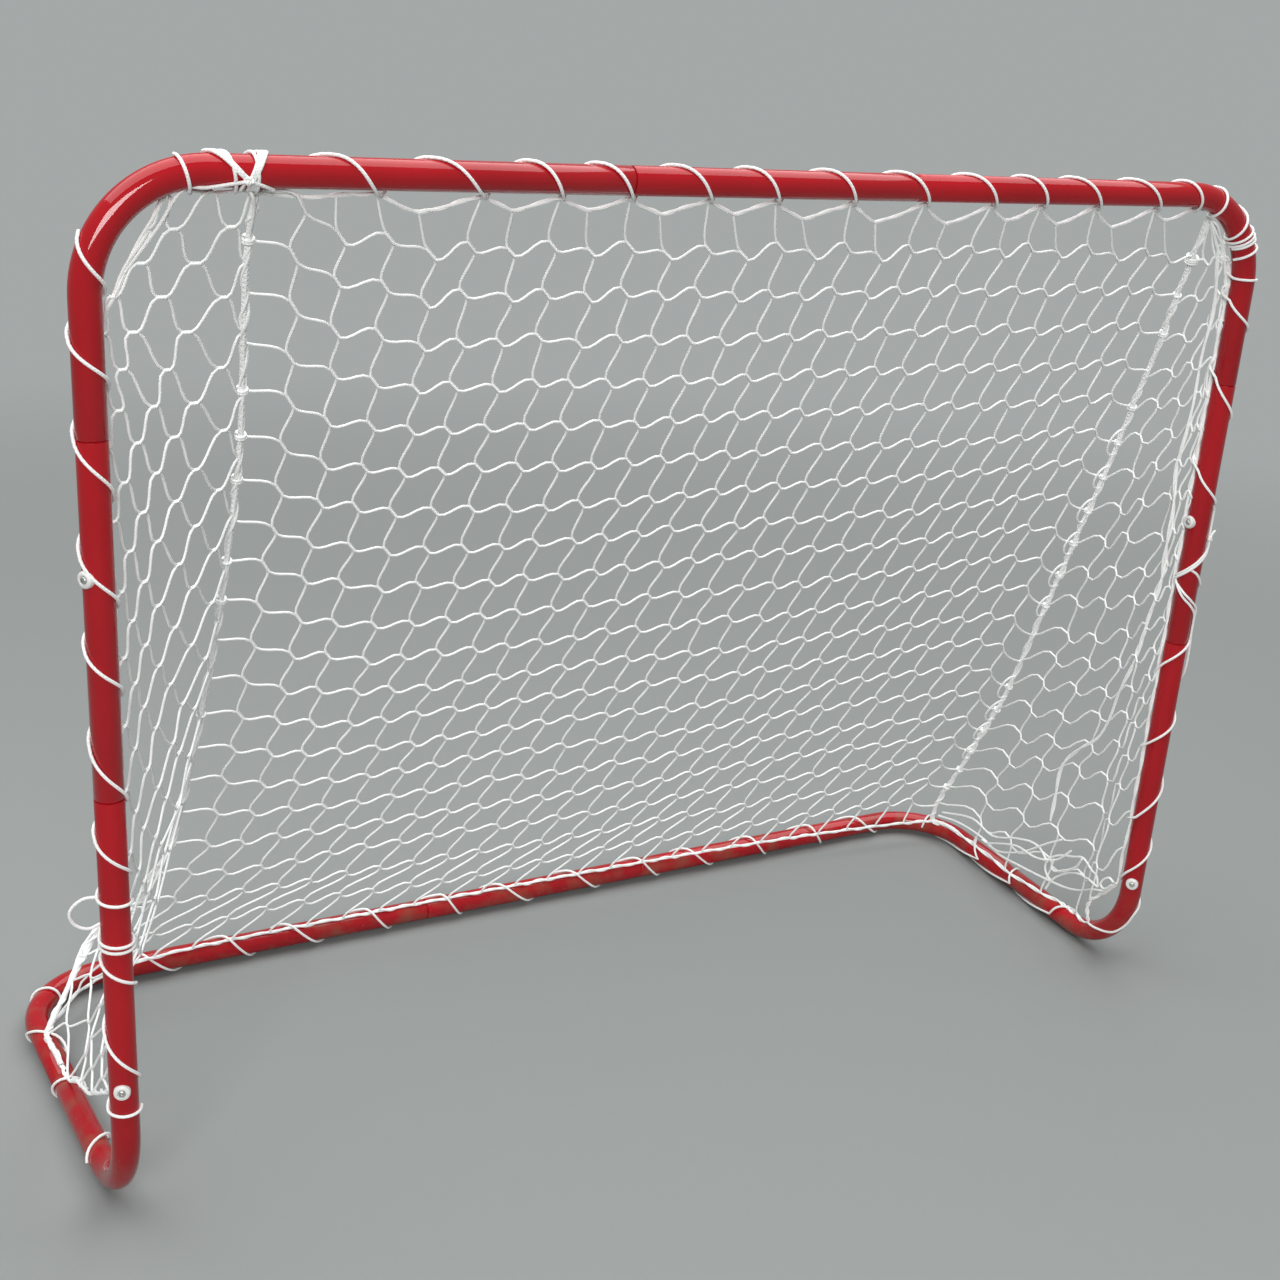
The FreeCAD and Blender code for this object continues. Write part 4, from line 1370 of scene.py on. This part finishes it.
def make_floor():
    profile = [(0, 0), (1, 0), (FLOOR_REACH / 2, 0)]
    for step in range(WALL_STEPS + 1):
        angle = math.pi / 2 * step / WALL_STEPS
        profile.append((FLOOR_REACH + WALL_BEND * math.sin(angle), WALL_BEND * (1 - math.cos(angle))))
    profile.append((FLOOR_REACH + WALL_BEND, WALL_TOP))
    bm = spun(profile, 96)
    bmesh.ops.remove_doubles(bm, verts=bm.verts[:], dist=1e-4)
    bmesh.ops.recalc_face_normals(bm, faces=bm.faces[:])
    mesh = from_bmesh(bm)
    mesh.shade_smooth()
    mesh.materials.append(make_ground())
    floor = bpy.data.objects.new("floor", mesh)
    bpy.context.scene.collection.objects.link(floor)
    print("the wall stands", FLOOR_REACH + WALL_BEND, "m from the goal")


make_floor()

# %% Light
SKY_COLOUR = (0.80, 0.83, 0.86, 1)


def make_lamp(name, place, target, size, power):
    lamp = bpy.data.lights.new(name, "AREA")
    lamp.shape = "RECTANGLE"
    lamp.size, lamp.size_y = size
    lamp.energy = power
    holder = bpy.data.objects.new(name, lamp)
    bpy.context.scene.collection.objects.link(holder)
    holder.location = place
    holder.rotation_mode = "QUATERNION"
    holder.rotation_quaternion = (Vector(target) - Vector(place)).to_track_quat("-Z", "Y")


def make_world():
    world = bpy.data.worlds.new("studio")
    bpy.context.scene.world = world
    world.use_nodes = True
    sky = world.node_tree.nodes["Background"]
    sky.inputs["Color"].default_value = SKY_COLOUR
    sky.inputs["Strength"].default_value = 0.34


make_world()
make_lamp("sky", (0, 0.6, 4.6), (0, 0.6, 0), (8.0, 5.5), 360)
make_lamp("front", (-2.6, -5.0, 3.0), (0, 0, 0.6), (3.0, 2.0), 250)

# %% Camera
CAMERA_PLACE = Vector((-1.05719, -1.62082 + FRONT_Y, 1.31772 + TURNS_LIFT))
CAMERA_RIGHT = Vector((0.8798794, -0.4709587, 0.0633258))
CAMERA_DOWN = Vector((-0.1065277, -0.3253589, -0.9395709))
CAMERA_AHEAD = Vector((0.4631027, 0.8199631, -0.3364467))


def make_camera():
    lens = bpy.data.cameras.new("camera")
    lens.sensor_width = 36
    lens.lens = 46.424
    camera = bpy.data.objects.new("camera", lens)
    bpy.context.scene.collection.objects.link(camera)
    axes = Matrix((CAMERA_RIGHT, CAMERA_DOWN * -1, CAMERA_AHEAD * -1)).transposed()
    camera.matrix_world = Matrix.Translation(CAMERA_PLACE) @ axes.to_4x4()
    bpy.context.scene.camera = camera


make_camera()
bpy.context.scene.view_settings.view_transform = "Standard"
print("camera:", [round(value, 3) for value in CAMERA_PLACE])
